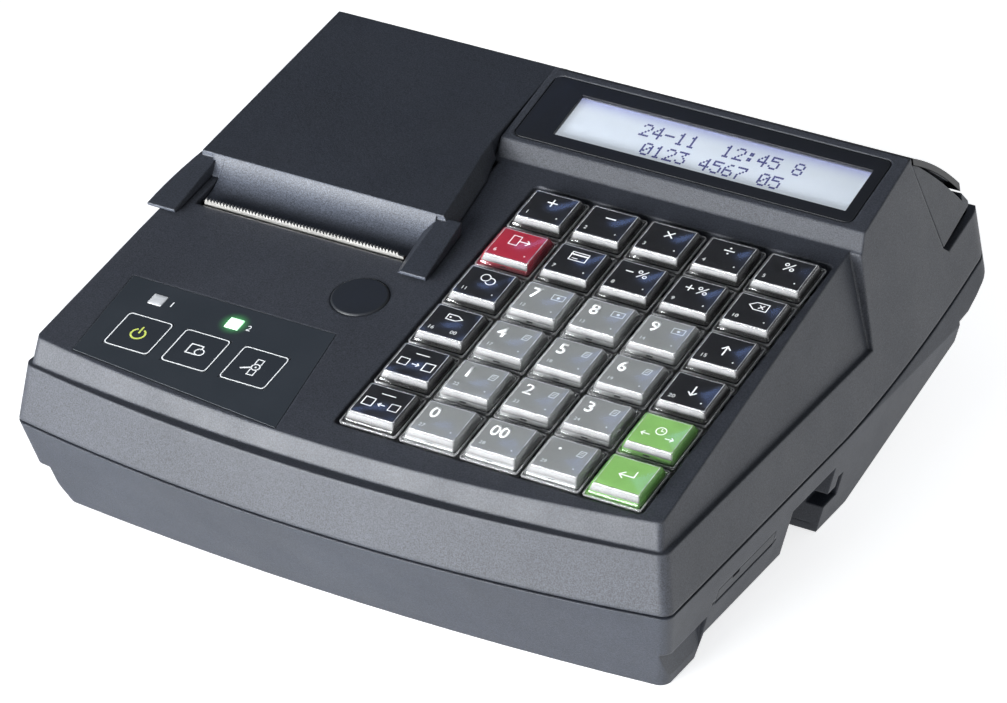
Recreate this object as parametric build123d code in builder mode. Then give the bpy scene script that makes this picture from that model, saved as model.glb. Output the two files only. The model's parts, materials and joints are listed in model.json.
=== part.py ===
from build123d import *
import math
import os

os.makedirs("parts", exist_ok=True)

# ---------------------------------------------------------------------------
# Portable ticket register. Millimetres. +X right, +Y rear, +Z up.
# Origin: centre of the footprint, at the table surface.
# ---------------------------------------------------------------------------

# deck plane, which carries the keys, the overlay and the printer cover
TILT = 10.37                 # slope of the deck, rising to the rear
DECK_Z = 68.5                # deck height at Y = 0
DECK_X = 13.8                # X of the first key's right edge
WALL = 2.2                   # moulded wall thickness
GAP = 0.3                    # half clearance at the shut lines
FOOT = 0.7                   # case stands this far off the table on its pads

# case
HALF_R, HALF_L = 96.3, 96.0  # half widths at the widest line
WIDE_Z = 30.0                # height of the widest line, and of the shut line at the front
FRONT_C, FRONT_M = -94.0, -103.3   # front: at the corners and at the middle of the bow
LOW_C, LOW_M = -80.9, -85.5        # the same at the table
KNEE_Z = 14.0                      # height of the bend in the left wall
SLOPE_Y, STEP_Y, SLOPE = 20.5, 74.3, 0.443   # rising underside: start, end at the step, gradient
REAR = 103.3
SKIRT_Z = 46.0               # ledge that runs round the front and right

# rear crown, a circular arc in the YZ plane
CROWN_Y, CROWN_Z, CROWN_R = 14.045, -2.756, 98.686

# display housing
BAND_Y0, BAND_Y1 = 25.3, 28.2      # foot and top of the front band
DISP_Z1 = 77.7
DISP_Y2, DISP_Z2 = 58.0, 85.6
DISP_X0 = -20.0                    # left wall of the housing

# keyboard
PITCH = 17.4
FLANGE = 16.6
COLS, ROWS = 5, 6
TRAVEL = 3.0
CAP_H = 3.0
STEM = 12.0
TRAY_H = -5.5                      # tray floor below the deck
GUIDE_H = -7.3                     # underside of the key guide plate
MAT_H = -12.8                      # top of the dome mat

# printer
ROLL_R, ROLL_Y, ROLL_Z = 24.0, 22.5, 43.0
ROLL_X0, ROLL_X1 = -80.5, -23.5
CORE_R = 6.5
PLATEN_Y, PLATEN_Z, PLATEN_R = -12.5, 57.0, 5.0
MODULE = 0.5
T_PLATEN, T_PINION = 26, 18
MESH = MODULE * (T_PLATEN + T_PINION) / 2
COVER_H = 5.0                      # top of the printer cover above the deck
AXIS_IN = 6.0                      # cover hinge axis below the crown
TAIL_R = 7.7                       # radius of the cover's tail about its hinge
TROUGH_R = 8.3
HINGE_Y = CROWN_Y + (CROWN_R - AXIS_IN) * math.sin(math.radians(40.0))
HINGE_Z = CROWN_Z + (CROWN_R - AXIS_IN) * math.cos(math.radians(40.0))
SLOT_X0, SLOT_X1 = -84.5, -18.0    # mouth of the printer bay
SLOT_Y0 = -23.5

ta, ca, sa = math.tan(math.radians(TILT)), math.cos(math.radians(TILT)), math.sin(math.radians(TILT))
DISP_TILT = math.degrees(math.atan2(DISP_Z2 - DISP_Z1, DISP_Y2 - BAND_Y1))
td, cd, sd = math.tan(math.radians(DISP_TILT)), math.cos(math.radians(DISP_TILT)), math.sin(math.radians(DISP_TILT))

# sloping work planes: x across, y up the slope, z out of the surface
DECK = Plane(origin=(DECK_X, 0, DECK_Z), x_dir=(1, 0, 0), z_dir=(0, -sa, ca))
DISP = Plane(origin=(0, BAND_Y1, DISP_Z1), x_dir=(1, 0, 0), z_dir=(0, -sd, cd))


def dz(y, h=0.0):
    """Height of the deck plane, moved h along its normal, at depth y."""
    return DECK_Z + y * ta + h / ca


def pz(y, h=0.0):
    """Height of the display plane, moved h along its normal, at depth y."""
    return DISP_Z1 + (y - BAND_Y1) * td + h / cd


def crown(y, d=0.0):
    """Height of the rear crown, moved d inwards, at depth y."""
    return CROWN_Z + math.sqrt((CROWN_R - d) ** 2 - (y - CROWN_Y) ** 2)


def meet(r, d):
    """Rear point where a circle r about the hinge axis meets the crown moved d inwards."""
    dist = CROWN_R - AXIS_IN
    c = ((CROWN_R - d) ** 2 - dist ** 2 - r ** 2) / (2 * dist * r)
    a = math.radians(50.0) - math.acos(c)
    return (HINGE_Y + r * math.cos(a), HINGE_Z + r * math.sin(a))


def outline(z, xl, xr, yc, ym, ry, rm, rf, rr):
    """Plan outline of the case at height z, with bowed front and rear."""
    with BuildSketch(Plane.XY.offset(z)) as s:
        with BuildLine():
            ThreePointArc((xl, yc), ((xl + xr) / 2, ym), (xr, yc))
            Line((xr, yc), (xr, ry))
            ThreePointArc((xr, ry), ((xl + xr) / 2, rm), (xl, ry))
            Line((xl, ry), (xl, yc))
        make_face()
        fillet(s.vertices().group_by(Axis.Y)[0], rf)
        fillet(s.vertices().group_by(Axis.Y)[-1], rr)
    return s.sketch


def prism(x0, x1, pts):
    """Closed YZ profile carried from x0 to x1. A three-tuple entry is an arc's middle point."""
    with BuildPart() as p:
        with BuildSketch(Plane.YZ.offset(x0)):
            with BuildLine():
                last = pts[0]
                i = 1
                while i < len(pts):
                    if len(pts[i]) == 3:
                        ThreePointArc(last, pts[i][:2], pts[i + 1])
                        last = pts[i + 1]
                        i += 2
                    else:
                        Line(last, pts[i])
                        last = pts[i]
                        i += 1
                Line(last, pts[0])
            make_face()
        extrude(amount=x1 - x0)
    return p.part


def block(x0, x1, y0, y1, z0, z1):
    """Plain box between two corners."""
    with BuildPart() as p:
        with Locations(((x0 + x1) / 2, (y0 + y1) / 2, (z0 + z1) / 2)):
            Box(x1 - x0, y1 - y0, z1 - z0)
    return p.part


def case_form(w):
    """Outer form of the whole case, moved w inwards."""
    rf, rr = max(3.2 - w, 1.0), max(10.0 - w, 5.0)
    t = KNEE_Z / WIDE_Z
    low = outline(0, -89.4 + w, 89.2 - w, LOW_C + w, LOW_M + w, 95 - w, 100 - w, rf, rr)
    # the left wall keeps upright down to its knee, the others lean in evenly
    knee = outline(KNEE_Z, -95.4 + w, 89.2 + (HALF_R - 89.2) * t - w, LOW_C + (FRONT_C - LOW_C) * t + w, LOW_M + (FRONT_M - LOW_M) * t + w,
                   95 + 4.5 * t - w, 100 + 4.5 * t - w, rf, rr)
    mid = outline(WIDE_Z, -HALF_L + w, HALF_R - w, FRONT_C + w, FRONT_M + w, 99.5 - w, 104.5 - w, rf, rr)
    top = outline(90, -89.1 + w, 85.8 - w, -83.9 + w, -93.2 + w, 95.5 - w, 100.5 - w, rf, rr)
    wedge_lo = outline(40, -93.27 + w, 93.49 - w, -92.68 + w, -99.68 + w, 80, 81, max(1.8 - w, 0.6), 1.0)
    wedge_hi = outline(90, -91.2 + w, 81.1 - w, -71.7 + w, -78.7 + w, 80, 81, max(1.8 - w, 0.6), 1.0)
    # display housing at the right and printer bay at the left, in side view
    housing = prism(DISP_X0 + w, 100, [
        (BAND_Y0 - 0.6 + w, -5), (BAND_Y0 - 0.6 + w, dz(BAND_Y0 - 0.6 + w, -w) - 0.2), (BAND_Y0 + w, dz(BAND_Y0 + w, -w)),
        (BAND_Y1 + 0.6 * w, pz(BAND_Y1 + 0.6 * w, -w)), (DISP_Y2 - 0.2 * w, pz(DISP_Y2 - 0.2 * w, -w)),
        (80.5, crown(80.5, w), 0), (102.5 - 1.1 * w, crown(102.5 - 1.1 * w, w)), (REAR - w, 38), (REAR - w, -5)])
    tr, d = TROUGH_R + w, w + 0.15
    bay = prism(-100, DISP_X0 + w + 0.5, [
        (20, -5), (20, dz(20, -w)), (52, dz(52, -w)), (HINGE_Y - TROUGH_R - 1.0 - w, 74.05 - w), (HINGE_Y - tr, HINGE_Z),
        (HINGE_Y, HINGE_Z - tr, 0), meet(tr, d),
        (93, crown(93, d), 0), (102.2 - 1.1 * w, crown(102.2 - 1.1 * w, d)), (REAR - d, 38), (REAR - d, -5)])
    with BuildPart() as deck:
        loft(sections=[wedge_lo, wedge_hi], ruled=True)
        add(prism(-100, 100, [(-110, 20), (-110, dz(-110, -w)), (26, dz(26, -w)), (26, 20)]), mode=Mode.INTERSECT)
    with BuildPart() as keep:
        with BuildSketch(Plane.XY.offset(-5)):
            Rectangle(220, 220)
        extrude(amount=5 + SKIRT_Z - w)
        add(deck.part)
        add(housing)
        add(bay)
    with BuildPart() as form:
        loft(sections=[low, knee], ruled=True)
        loft(sections=[knee, mid], ruled=True)
        loft(sections=[mid, top], ruled=True)
        add(keep.part, mode=Mode.INTERSECT)
        # underside: foot bar, raised middle, standing block, rising slope and shallow overhang at the rear
        add(prism(-100, 100, [
            (-112, FOOT + w), (-66 - w, FOOT + w), (-64.5 - w, 8 + w), (0 + w, 8 + w), (0 + w, FOOT + w), (SLOPE_Y - 0.21 * w, FOOT + w),
            (STEP_Y - w, FOOT + (STEP_Y - w - SLOPE_Y) * SLOPE + 1.094 * w), (STEP_Y - w, 31.0 + w), (80, 31.4 + w), (86, 33.4 + w),
            (96, 38.0 + 1.1 * w), (REAR - w, 41.4 + 1.3 * w), (REAR, 100), (-112, 100)]),
            mode=Mode.INTERSECT)
        # front foot is a little narrower than the case
        add(block(90.2 - w, 110, -115, -65.5 + w, -5, 14 + w), mode=Mode.SUBTRACT)
        add(block(-110, -90.2 + w, -115, -65.5 + w, -5, 14 + w), mode=Mode.SUBTRACT)
    return form.part


def seam_side(off, up):
    """Everything above (up) or below the shut line between the two shells, moved by off."""
    z = WIDE_Z + off
    far = 120 if up else -20
    return prism(-110, 110, [(-120, z), (5, z), (55, z + 4.9, 0), (108, z + 16.0), (108, far), (-120, far)])


def gear(x, y, z, teeth, width, phase):
    """Spur gear with its axis along X, teeth relieved for free running."""
    r = MODULE * teeth / 2
    pts = []
    for i in range(teeth):
        a = phase + 2 * math.pi * i / teeth
        for rad, half in ((r - 0.5, -0.42), (r + 0.3, -0.2), (r + 0.3, 0.2), (r - 0.5, 0.42)):
            pts.append((y + rad * math.cos(a + half / rad), z + rad * math.sin(a + half / rad)))
    return prism(x, x + width, pts)


outer_form = case_form(0.0)
inner_form = case_form(WALL)

# key centres on the deck plane, from the rear left key, row by row
KEY_C = [(-8.3 + c * PITCH, 8.3 - r * PITCH) for r in range(ROWS) for c in range(COLS)]
FX0, FX1 = -17.6, -8.3 + 4 * PITCH + 9.3
FY0, FY1 = 8.3 - 5 * PITCH - 9.3, 18.4
FC = ((FX0 + FX1) / 2, (FY0 + FY1) / 2)
POSTS = [(0.4 + c * PITCH, -0.4 - r * PITCH) for c, r in ((0, 0), (3, 0), (1, 2), (0, 4), (2, 4))]

# overlay with three key zones and two lenses, in deck coordinates
OVER = [(-96.9, -56.9), (-34.6, -57.1), (-29.7, -95.8), (-95.0, -89.6)]
ZONES = [(-82.4, -77.3), (-64.9, -77.3), (-47.2, -77.3)]
ZONE = 13.6
LENSES = [(-85.2, -63.4), (-61.4, -63.9)]
LENS = 4.1
PLUG, PLUG_R = (-36.8, -41.4), 7.9

# screw pillars: x, y, floor height, joint height, top and radius of the upper boss
PILLARS = [(-70.0, -72.0, 2.0, 36.0, 54.4, 3.4), (-12.0, -72.0, 2.0, 36.0, 54.4, 3.4), (66.4, -69.6, 2.0, 34.0, 50.0, 2.4),
           (-75.0, 87.0, 33.0, 46.0, 62.0, 3.4), (75.0, 87.0, 33.0, 45.0, 52.5, 3.4)]
SCREW_R = 1.05

# ---------------------------------------------------------------- upper shell
with BuildPart() as tray:
    with BuildSketch(DECK.offset(GUIDE_H)):
        with Locations(FC):
            Rectangle(FX1 - FX0 + 3.2, FY1 - FY0 + 3.2)
    extrude(amount=-GUIDE_H - 0.2)
    add(outer_form, mode=Mode.INTERSECT)

with BuildPart() as bosses:
    for bx, by, b0, bj, bt, br in PILLARS:
        with BuildSketch(Plane.XY.offset(bj)):
            with Locations((bx, by)):
                Circle(br)
        extrude(amount=bt - bj)
    add(block(74, 76, 87, 98.5, 47, 52.5))
    add(outer_form, mode=Mode.INTERSECT)

with BuildPart() as upper_shell:
    add(outer_form)
    add(inner_form, mode=Mode.SUBTRACT)
    add(seam_side(GAP + 0.25, False), mode=Mode.SUBTRACT)
    # key field: sunk tray with a square guide hole for every key stem
    add(tray.part)
    add(bosses.part)
    with BuildSketch(DECK.offset(1)):
        with Locations(FC):
            RectangleRounded(FX1 - FX0, FY1 - FY0, 1.5)
    extrude(amount=TRAY_H - 1, mode=Mode.SUBTRACT)
    with BuildSketch(DECK.offset(GUIDE_H - 1)):
        with Locations(*KEY_C):
            Rectangle(STEM + 0.6, STEM + 0.6)
    extrude(amount=4, mode=Mode.SUBTRACT)
    # posts that carry the dome mat and the keyboard board
    with BuildSketch(DECK.offset(MAT_H)):
        with Locations(*POSTS):
            Circle(1.7)
    extrude(amount=GUIDE_H - MAT_H + 0.5)
    # overlay recess, zone wells and lens holes
    with BuildSketch(DECK.offset(-0.3)):
        with BuildLine():
            Polyline(*OVER, close=True)
        make_face()
    extrude(amount=2, mode=Mode.SUBTRACT)
    with BuildSketch(DECK.offset(-1.2)):
        with Locations(*ZONES):
            Rectangle(ZONE + 0.2, ZONE + 0.2)
    extrude(amount=2, mode=Mode.SUBTRACT)
    with BuildSketch(DECK.offset(-4)):
        with Locations(*ZONES):
            Rectangle(11.0, 11.0)
        with Locations(*LENSES):
            Rectangle(LENS, LENS)
        with Locations(PLUG):
            Circle(PLUG_R - 2.0)
    extrude(amount=5, mode=Mode.SUBTRACT)
    with BuildSketch(DECK.offset(-0.9)):
        with Locations(PLUG):
            Circle(PLUG_R)
    extrude(amount=2, mode=Mode.SUBTRACT)
    # mouth of the printer bay
    add(block(SLOT_X0, SLOT_X1, SLOT_Y0, 24.0, 54, 92), mode=Mode.SUBTRACT)
    add(block(SLOT_X0, -23.5, 20.0, 57.5, 60, 92), mode=Mode.SUBTRACT)
    # display window: ledge and through opening
    with BuildSketch(DISP.offset(-1.5)):
        with Locations((32.6, 15.0)):
            RectangleRounded(101.0, 26.4, 2.2)
    extrude(amount=4, mode=Mode.SUBTRACT)
    with BuildSketch(DISP.offset(-5)):
        with Locations((35.4, 15.8)):
            Rectangle(90.0, 19.0)
    extrude(amount=6, mode=Mode.SUBTRACT)
    # opening for the rear display frame
    add(prism(DISP_X0 + WALL, 100, [(57.9, 92), (57.9, 83.6), (70.0, 54.4), (72.9, 52.2), (93.0, 56.3), (110, 59.8), (110, 92)]), mode=Mode.SUBTRACT)
    # hinge ears, standing on the front side of the trough
    for x0 in (-90.4, -24.0):
        add(prism(x0, x0 + 2.8, [(HINGE_Y + 4.0, HINGE_Z), (HINGE_Y + 2.83, HINGE_Z + 2.83, 0), (HINGE_Y, HINGE_Z + 4.0), (HINGE_Y - 2.83, HINGE_Z + 2.83, 0),
                                 (HINGE_Y - 4.0, HINGE_Z), (HINGE_Y - 8.6, HINGE_Z - 3.0), (HINGE_Y - 5.0, HINGE_Z - 8.0), (HINGE_Y + 2.83, HINGE_Z - 2.83)]))
        with BuildSketch(Plane.YZ.offset(x0)):
            with Locations((HINGE_Y, HINGE_Z)):
                Circle(1.55)
        extrude(amount=2.8, mode=Mode.SUBTRACT)
    # screw holes
    for bx, by, b0, bj, bt, br in PILLARS:
        with BuildSketch(Plane.XY.offset(bj)):
            with Locations((bx, by)):
                Circle(SCREW_R + 0.05)
        extrude(amount=9.0 if by < 0 else 6.0, mode=Mode.SUBTRACT)
upper_shell.part.label = "upper_shell"
export_step(upper_shell.part, "parts/upper_shell.step")

# ---------------------------------------------------------------- lower shell
REC_X0, REC_Y0, REC_Y1, REC_Z1 = 70.0, -22.0, 3.0, 22.0      # connector recess
BAT_Y0, BAT_Y1 = -57.0, -21.0                                # battery opening
BAT_Z = 8.0                                                  # underside between the feet
CARD_Y0, CARD_Y1, CARD_Z = -63.0, -31.0, 16.5                # card slot
CARD_B = math.atan2(HALF_R - 89.2, WIDE_Z)                   # lean of the side wall
CARD_X = 89.2 + (HALF_R - 89.2) * CARD_Z / WIDE_Z
CARD_AX = CARD_X - 0.8 * math.cos(CARD_B) + 0.9 * math.sin(CARD_B)
CARD_AZ = CARD_Z + 0.8 * math.sin(CARD_B) + 0.9 * math.cos(CARD_B)
SIDE = Plane(origin=(CARD_X, (CARD_Y0 + CARD_Y1) / 2, CARD_Z), x_dir=(0, 1, 0), z_dir=(math.cos(CARD_B), 0, -math.sin(CARD_B)))

with BuildPart() as tongue:
    # lip that enters the upper shell
    add(case_form(WALL + 0.3))
    add(seam_side(2.2, True), mode=Mode.SUBTRACT)
    add(seam_side(-1.0, False), mode=Mode.SUBTRACT)
with BuildPart() as root:
    # its root on the lower wall
    add(inner_form)
    add(seam_side(-GAP, True), mode=Mode.SUBTRACT)
    add(seam_side(-4.0, False), mode=Mode.SUBTRACT)
    add(tongue.part)
    add(case_form(WALL + 1.5), mode=Mode.SUBTRACT)

with BuildPart() as furniture:
    # pillars, printer posts, board posts, battery walls, connector housing and card pocket
    for bx, by, b0, bj, bt, br in PILLARS:
        with BuildSketch(Plane.XY.offset(b0 - 1.5)):
            with Locations((bx, by)):
                Circle(4.6)
        extrude(amount=bj - b0 + 1.5)
    for px, py in ((-77, -12), (-28, -12)):
        with BuildSketch(Plane.XY.offset(9)):
            with Locations((px, py)):
                Circle(2.4)
        extrude(amount=39.0 - 9)
    for px, py, p0 in ((-8, -52, 9), (60, -52, 9), (-8, 20, 2), (60, 20, 2)):
        with BuildSketch(Plane.XY.offset(p0)):
            with Locations((px, py)):
                Circle(3.0)
        extrude(amount=12.0 - p0)
    add(block(-92, -28.0, -60.5, -59.0, 9, 28))
    add(block(-92, -28.0, -19.0, -17.5, 9, 28))
    add(block(-29.5, -28.0, -60.5, -17.5, 9, 28))
    add(block(REC_X0 - 2.0, 97, REC_Y0 - 2.0, REC_Y1 + 9.0, 3, REC_Z1 + 2.0))
    add(block(84, 97, CARD_Y0 - 2.5, CARD_Y1 + 2.5, 13.5, 24))
    add(outer_form, mode=Mode.INTERSECT)

with BuildPart() as lower_shell:
    add(outer_form)
    add(inner_form, mode=Mode.SUBTRACT)
    add(seam_side(-GAP, True), mode=Mode.SUBTRACT)
    add(root.part)
    add(furniture.part)
    # screw counterbores and holes
    for bx, by, b0, bj, bt, br in PILLARS:
        with BuildSketch(Plane.XY.offset(-2)):
            with Locations((bx, by)):
                Circle(3.1)
        extrude(amount=b0 + 8.0, mode=Mode.SUBTRACT)
        with BuildSketch(Plane.XY.offset(b0)):
            with Locations((bx, by)):
                Circle(1.5)
        extrude(amount=bj - b0 + 1, mode=Mode.SUBTRACT)
    # connector recess, open at the side and below, with ports in its inner end
    add(block(REC_X0, 110, REC_Y0, REC_Y1, -5, REC_Z1), mode=Mode.SUBTRACT)
    add(block(REC_X0 - 3, REC_X0 + 1, -20.0, 1.0, 13.6, 20.6), mode=Mode.SUBTRACT)
    # slot of the cable hook behind the recess
    add(block(86, 110, REC_Y1 - 1, 10.5, 9.0, 13.2), mode=Mode.SUBTRACT)
    add(block(86, 110, 7.5, 10.5, 9.0, 16.5), mode=Mode.SUBTRACT)
    # battery opening, through the floor and the foot of the left wall
    add(block(-110, -30.2, BAT_Y0, BAT_Y1, 5, 11), mode=Mode.SUBTRACT)
    add(block(-110, -29.5, BAT_Y0 - 1.8, BAT_Y1 + 1.8, BAT_Z + WALL, BAT_Z + WALL + 1.8), mode=Mode.SUBTRACT)
    # card slot with its hinge bore
    with BuildSketch(SIDE.offset(2)):
        with Locations((0, 2.2)):
            Rectangle(CARD_Y1 - CARD_Y0, 5.0)
    extrude(amount=-4.0, mode=Mode.SUBTRACT)
    with BuildSketch(SIDE):
        with Locations((0, 2.6)):
            Rectangle(27.0, 2.6)
    extrude(amount=-7.0, mode=Mode.SUBTRACT)
    with BuildSketch(Plane.XZ.offset(-CARD_Y1 - 1.6)):
        with Locations((CARD_AX, CARD_AZ)):
            Circle(0.86)
    extrude(amount=CARD_Y1 - CARD_Y0 + 3.2, mode=Mode.SUBTRACT)
    # pockets for the rubber pads
    with BuildSketch(Plane.XY.offset(-1)):
        with Locations((-44, -75), (44, -75)):
            RectangleRounded(30.4, 8.4, 3.0)
        with Locations((-56, 15), (56, 15)):
            RectangleRounded(30.4, 10.4, 3.0)
    extrude(amount=1 + FOOT + 0.8, mode=Mode.SUBTRACT)
lower_shell.part.label = "lower_shell"
export_step(lower_shell.part, "parts/lower_shell.step")

# ---------------------------------------------------------------- printer cover
with BuildSketch(Plane.XY.offset(50)) as plan_lo:
    with BuildLine():
        Polyline((-93.7, -30), (-4.6, -30), (-4.6, -9), (-2.9, 14), (-12.2, 23.6), (-20.6, 24.1), (-20.6, 100), (-93.7, 100), close=True)
    make_face()
with BuildSketch(Plane.XY.offset(95)) as plan_hi:
    with BuildLine():
        Polyline((-88.5, -30), (-28.6, -30), (-28.6, -9), (-31.3, 14), (-25.4, 23.6), (-20.6, 24.1), (-20.6, 100), (-88.5, 100), close=True)
    make_face()
with BuildPart() as cover_plan:
    loft(sections=[plan_lo.sketch, plan_hi.sketch], ruled=True)

TAIL_END = meet(TAIL_R, 0.0)

# lift ears: thin levers that thicken towards the lid, rounded along the top
ears = []
for foot, top in ((((-95.3, -7.9), (-95.3, -30.2), (-86.6, -30.2), (-86.2, -7.9)), ((-91.4, -7.9), (-95.3, -30.2), (-87.2, -30.2), (-86.8, -7.9))),
                  (((-21.8, -7.9), (-18.9, -29.4), (-10.0, -29.4), (-11.3, -7.9)), ((-17.4, -7.9), (-14.6, -29.4), (-10.2, -29.4), (-11.6, -7.9)))):
    with BuildPart() as ear:
        for h, corners in ((0.5, foot), (4.4, top)):
            with BuildSketch(DECK.offset(h)):
                with BuildLine():
                    Polyline(*[(x - DECK_X, y / ca + h * ta) for x, y in corners], close=True)
                make_face()
        loft(ruled=True)
        add(prism(-100, 0, [(-36, dz(-36, 0.2)), (-36, dz(-36, 1.1)), (-5, dz(-5, 3.95)), (-5, dz(-5, 0.2))]), mode=Mode.INTERSECT)
        fillet(ear.edges().group_by(Axis.Y)[0].filter_by(Axis.X), 0.7)
    ears.append(ear.part)

with BuildPart() as printer_cover:
    # lid over the paper, and the tail that turns in the trough
    add(prism(-95, 0, [
        (-9, dz(-9, 0.4)), (-9, dz(-9, COVER_H)), (59.9, dz(59.9, COVER_H)), (70, crown(70), 0), TAIL_END,
        (HINGE_Y + TAIL_R * math.cos(0.09), HINGE_Z + TAIL_R * math.sin(0.09), 0), (HINGE_Y + TAIL_R, HINGE_Z),
        (HINGE_Y + 4.2, HINGE_Z), (HINGE_Y, HINGE_Z - 4.2, 0), (HINGE_Y - 4.2, HINGE_Z), (66.0, 69.6), (64.9, 74.5), (52, dz(52, 0.4))]))
    add(cover_plan.part, mode=Mode.INTERSECT)
    add(prism(-88.8, -23.0, [(-6.6, 60), (-6.6, dz(-6.6, 2.8)), (57, dz(57, 2.8)), (63.5, 79.4), (63.5, 70)]), mode=Mode.SUBTRACT)
    for x0, x1 in ((-98, -87.2), (-24.4, -20)):
        with BuildSketch(Plane.YZ.offset(x0)):
            with Locations((HINGE_Y, HINGE_Z)):
                Circle(4.8)
        extrude(amount=x1 - x0, mode=Mode.SUBTRACT)
    for x0, x1 in ((-90.2, -86.8), (-24.8, -21.4)):
        with BuildSketch(Plane.YZ.offset(x0)):
            with Locations((HINGE_Y, HINGE_Z)):
                Circle(1.5)
        extrude(amount=x1 - x0)
    # hollow front slope, down to the lip behind the tear bar, closed off against the left ear
    add(prism(-84.2, -18.4, [
        (-20.35, dz(-20.35, -1.1)), (-13.6, 65.6, 0), (-9, dz(-9, COVER_H)), (-8.0, dz(-8.0, COVER_H)), (-8.0, 68.2), (-13.2, 64.0, 0), (-18.4, 62.9)]))
    add(prism(-87.4, -84.0, [(-12.2, 66.75), (-10.4, 69.0, 0), (-9, dz(-9, COVER_H)), (-8.0, dz(-8.0, COVER_H)), (-8.0, dz(-8.0, 0.45)), (-12.2, dz(-12.2, 0.45))]))
    # arms that carry the platen
    for x0, x1 in ((-84.0, -82.2), (-22.6, -21.0)):
        add(prism(x0, x1, [
            (PLATEN_Y - 4.5, PLATEN_Z), (PLATEN_Y, PLATEN_Z - 4.5, 0), (PLATEN_Y + 4.5, PLATEN_Z), (-8.0, 68.8), (-9.4, 68.8), (-12.8, 65.2), (-16.2, 63.6)]))
        with BuildSketch(Plane.YZ.offset(x0)):
            with Locations((PLATEN_Y, PLATEN_Z)):
                Circle(1.55)
        extrude(amount=x1 - x0, mode=Mode.SUBTRACT)
    # lift ears either side of the slope
    for ear in ears:
        add(ear)
printer_cover.part.label = "printer_cover"
export_step(printer_cover.part, "parts/printer_cover.step")

# ---------------------------------------------------------------- tear bar
with BuildPart() as tear_bar:
    with BuildSketch(Plane.XZ.offset(22.4)):
        with BuildLine():
            teeth = [(-82.6, dz(-22, -3.0))]
            for i in range(61):
                teeth.append((-82.2 + i, dz(-22, 0.35)))
                if i < 60:
                    teeth.append((-81.7 + i, dz(-22, 1.35)))
            teeth.append((-20.8, dz(-22, 0.35)))
            teeth.append((-20.8, dz(-22, -3.0)))
            Polyline(*teeth, close=True)
        make_face()
    extrude(amount=-0.7)
    add(block(-82.6, -20.8, SLOT_Y0, -22.3, dz(-23, -2.6), dz(-23, -1.5)))
tear_bar.part.label = "tear_bar"
export_step(tear_bar.part, "parts/tear_bar.step")

# ---------------------------------------------------------------- print mechanism
with BuildPart() as print_mechanism:
    # folded steel chassis with the stepper motor on its right plate
    add(block(-86.4, -85.2, -24.0, -7.0, 39.0, 60.0))
    add(block(-86.4, -16.7, -24.0, -6.5, 39.0, 40.5))
    add(block(-17.9, -16.7, -24.0, -3.0, 36.5, 60.0))
    with BuildSketch(Plane.YZ.offset(-16.9)):
        with Locations((PLATEN_Y, PLATEN_Z - MESH)):
            Circle(9.0)
            with Locations((11.0, 0), (-11.0, 0)):
                Circle(2.6)
    extrude(amount=0.8)
    with BuildSketch(Plane.YZ.offset(-16.9)):
        with Locations((PLATEN_Y, PLATEN_Z - MESH)):
            Circle(8.4)
    extrude(amount=8.6)
    with BuildSketch(Plane.YZ.offset(-18.0)):
        with Locations((PLATEN_Y, PLATEN_Z - MESH)):
            Circle(1.05)
    extrude(amount=6.6, mode=Mode.SUBTRACT)
print_mechanism.part.label = "print_mechanism"
export_step(print_mechanism.part, "parts/print_mechanism.step")

with BuildPart() as print_head:
    add(block(-80.0, -24.0, -21.2, -18.9, 40.5, 62.4))
    add(block(-76.0, -28.0, -18.9, -18.6, 55.5, 59.0))
    add(block(-60.0, -44.0, -23.0, -21.2, 43.0, 48.0))
print_head.part.label = "print_head"
export_step(print_head.part, "parts/print_head.step")

with BuildPart() as platen_roller:
    with BuildSketch(Plane.YZ.offset(-80.8)):
        with Locations((PLATEN_Y, PLATEN_Z)):
            Circle(PLATEN_R)
    extrude(amount=57.6)
    with BuildSketch(Plane.YZ.offset(-84.2)):
        with Locations((PLATEN_Y, PLATEN_Z)):
            Circle(1.5)
    extrude(amount=65.8)
    add(gear(-20.6, PLATEN_Y, PLATEN_Z, T_PLATEN, 2.0, -math.pi / 2))
platen_roller.part.label = "platen_roller"
export_step(platen_roller.part, "parts/platen_roller.step")

with BuildPart() as motor_pinion:
    add(gear(-20.6, PLATEN_Y, PLATEN_Z - MESH, T_PINION, 2.0, math.pi / 2 + math.pi / T_PINION))
    with BuildSketch(Plane.YZ.offset(-20.9)):
        with Locations((PLATEN_Y, PLATEN_Z - MESH)):
            Circle(1.0)
    extrude(amount=9.2)
motor_pinion.part.label = "motor_pinion"
export_step(motor_pinion.part, "parts/motor_pinion.step")

with BuildPart() as paper_bucket:
    add(prism(-83.0, -21.0, [(-6.5, 61.0), (-6.5, 43.0), (ROLL_Y, 14.0, 0), (51.5, 43.0), (51.5, 66.0), (48.0, 66.0), (-3.0, 61.0)]))
    add(prism(-81.5, -22.5, [(-5.0, 70.0), (-5.0, 43.0), (ROLL_Y, 15.5, 0), (50.0, 43.0), (50.0, 70.0)]), mode=Mode.SUBTRACT)
    for x0, x1 in ((-81.5, -77.5), (-26.5, -22.5)):
        with BuildSketch(Plane.YZ.offset(x0)):
            with Locations((ROLL_Y, ROLL_Z)):
                Circle(CORE_R - 0.08)
        extrude(amount=x1 - x0)
paper_bucket.part.label = "paper_bucket"
export_step(paper_bucket.part, "parts/paper_bucket.step")

with BuildPart() as paper_roll:
    with BuildSketch(Plane.YZ.offset(ROLL_X0)):
        with Locations((ROLL_Y, ROLL_Z)):
            Circle(ROLL_R)
            Circle(CORE_R, mode=Mode.SUBTRACT)
    extrude(amount=ROLL_X1 - ROLL_X0)
paper_roll.part.label = "paper_roll"
export_step(paper_roll.part, "parts/paper_roll.step")

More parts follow.
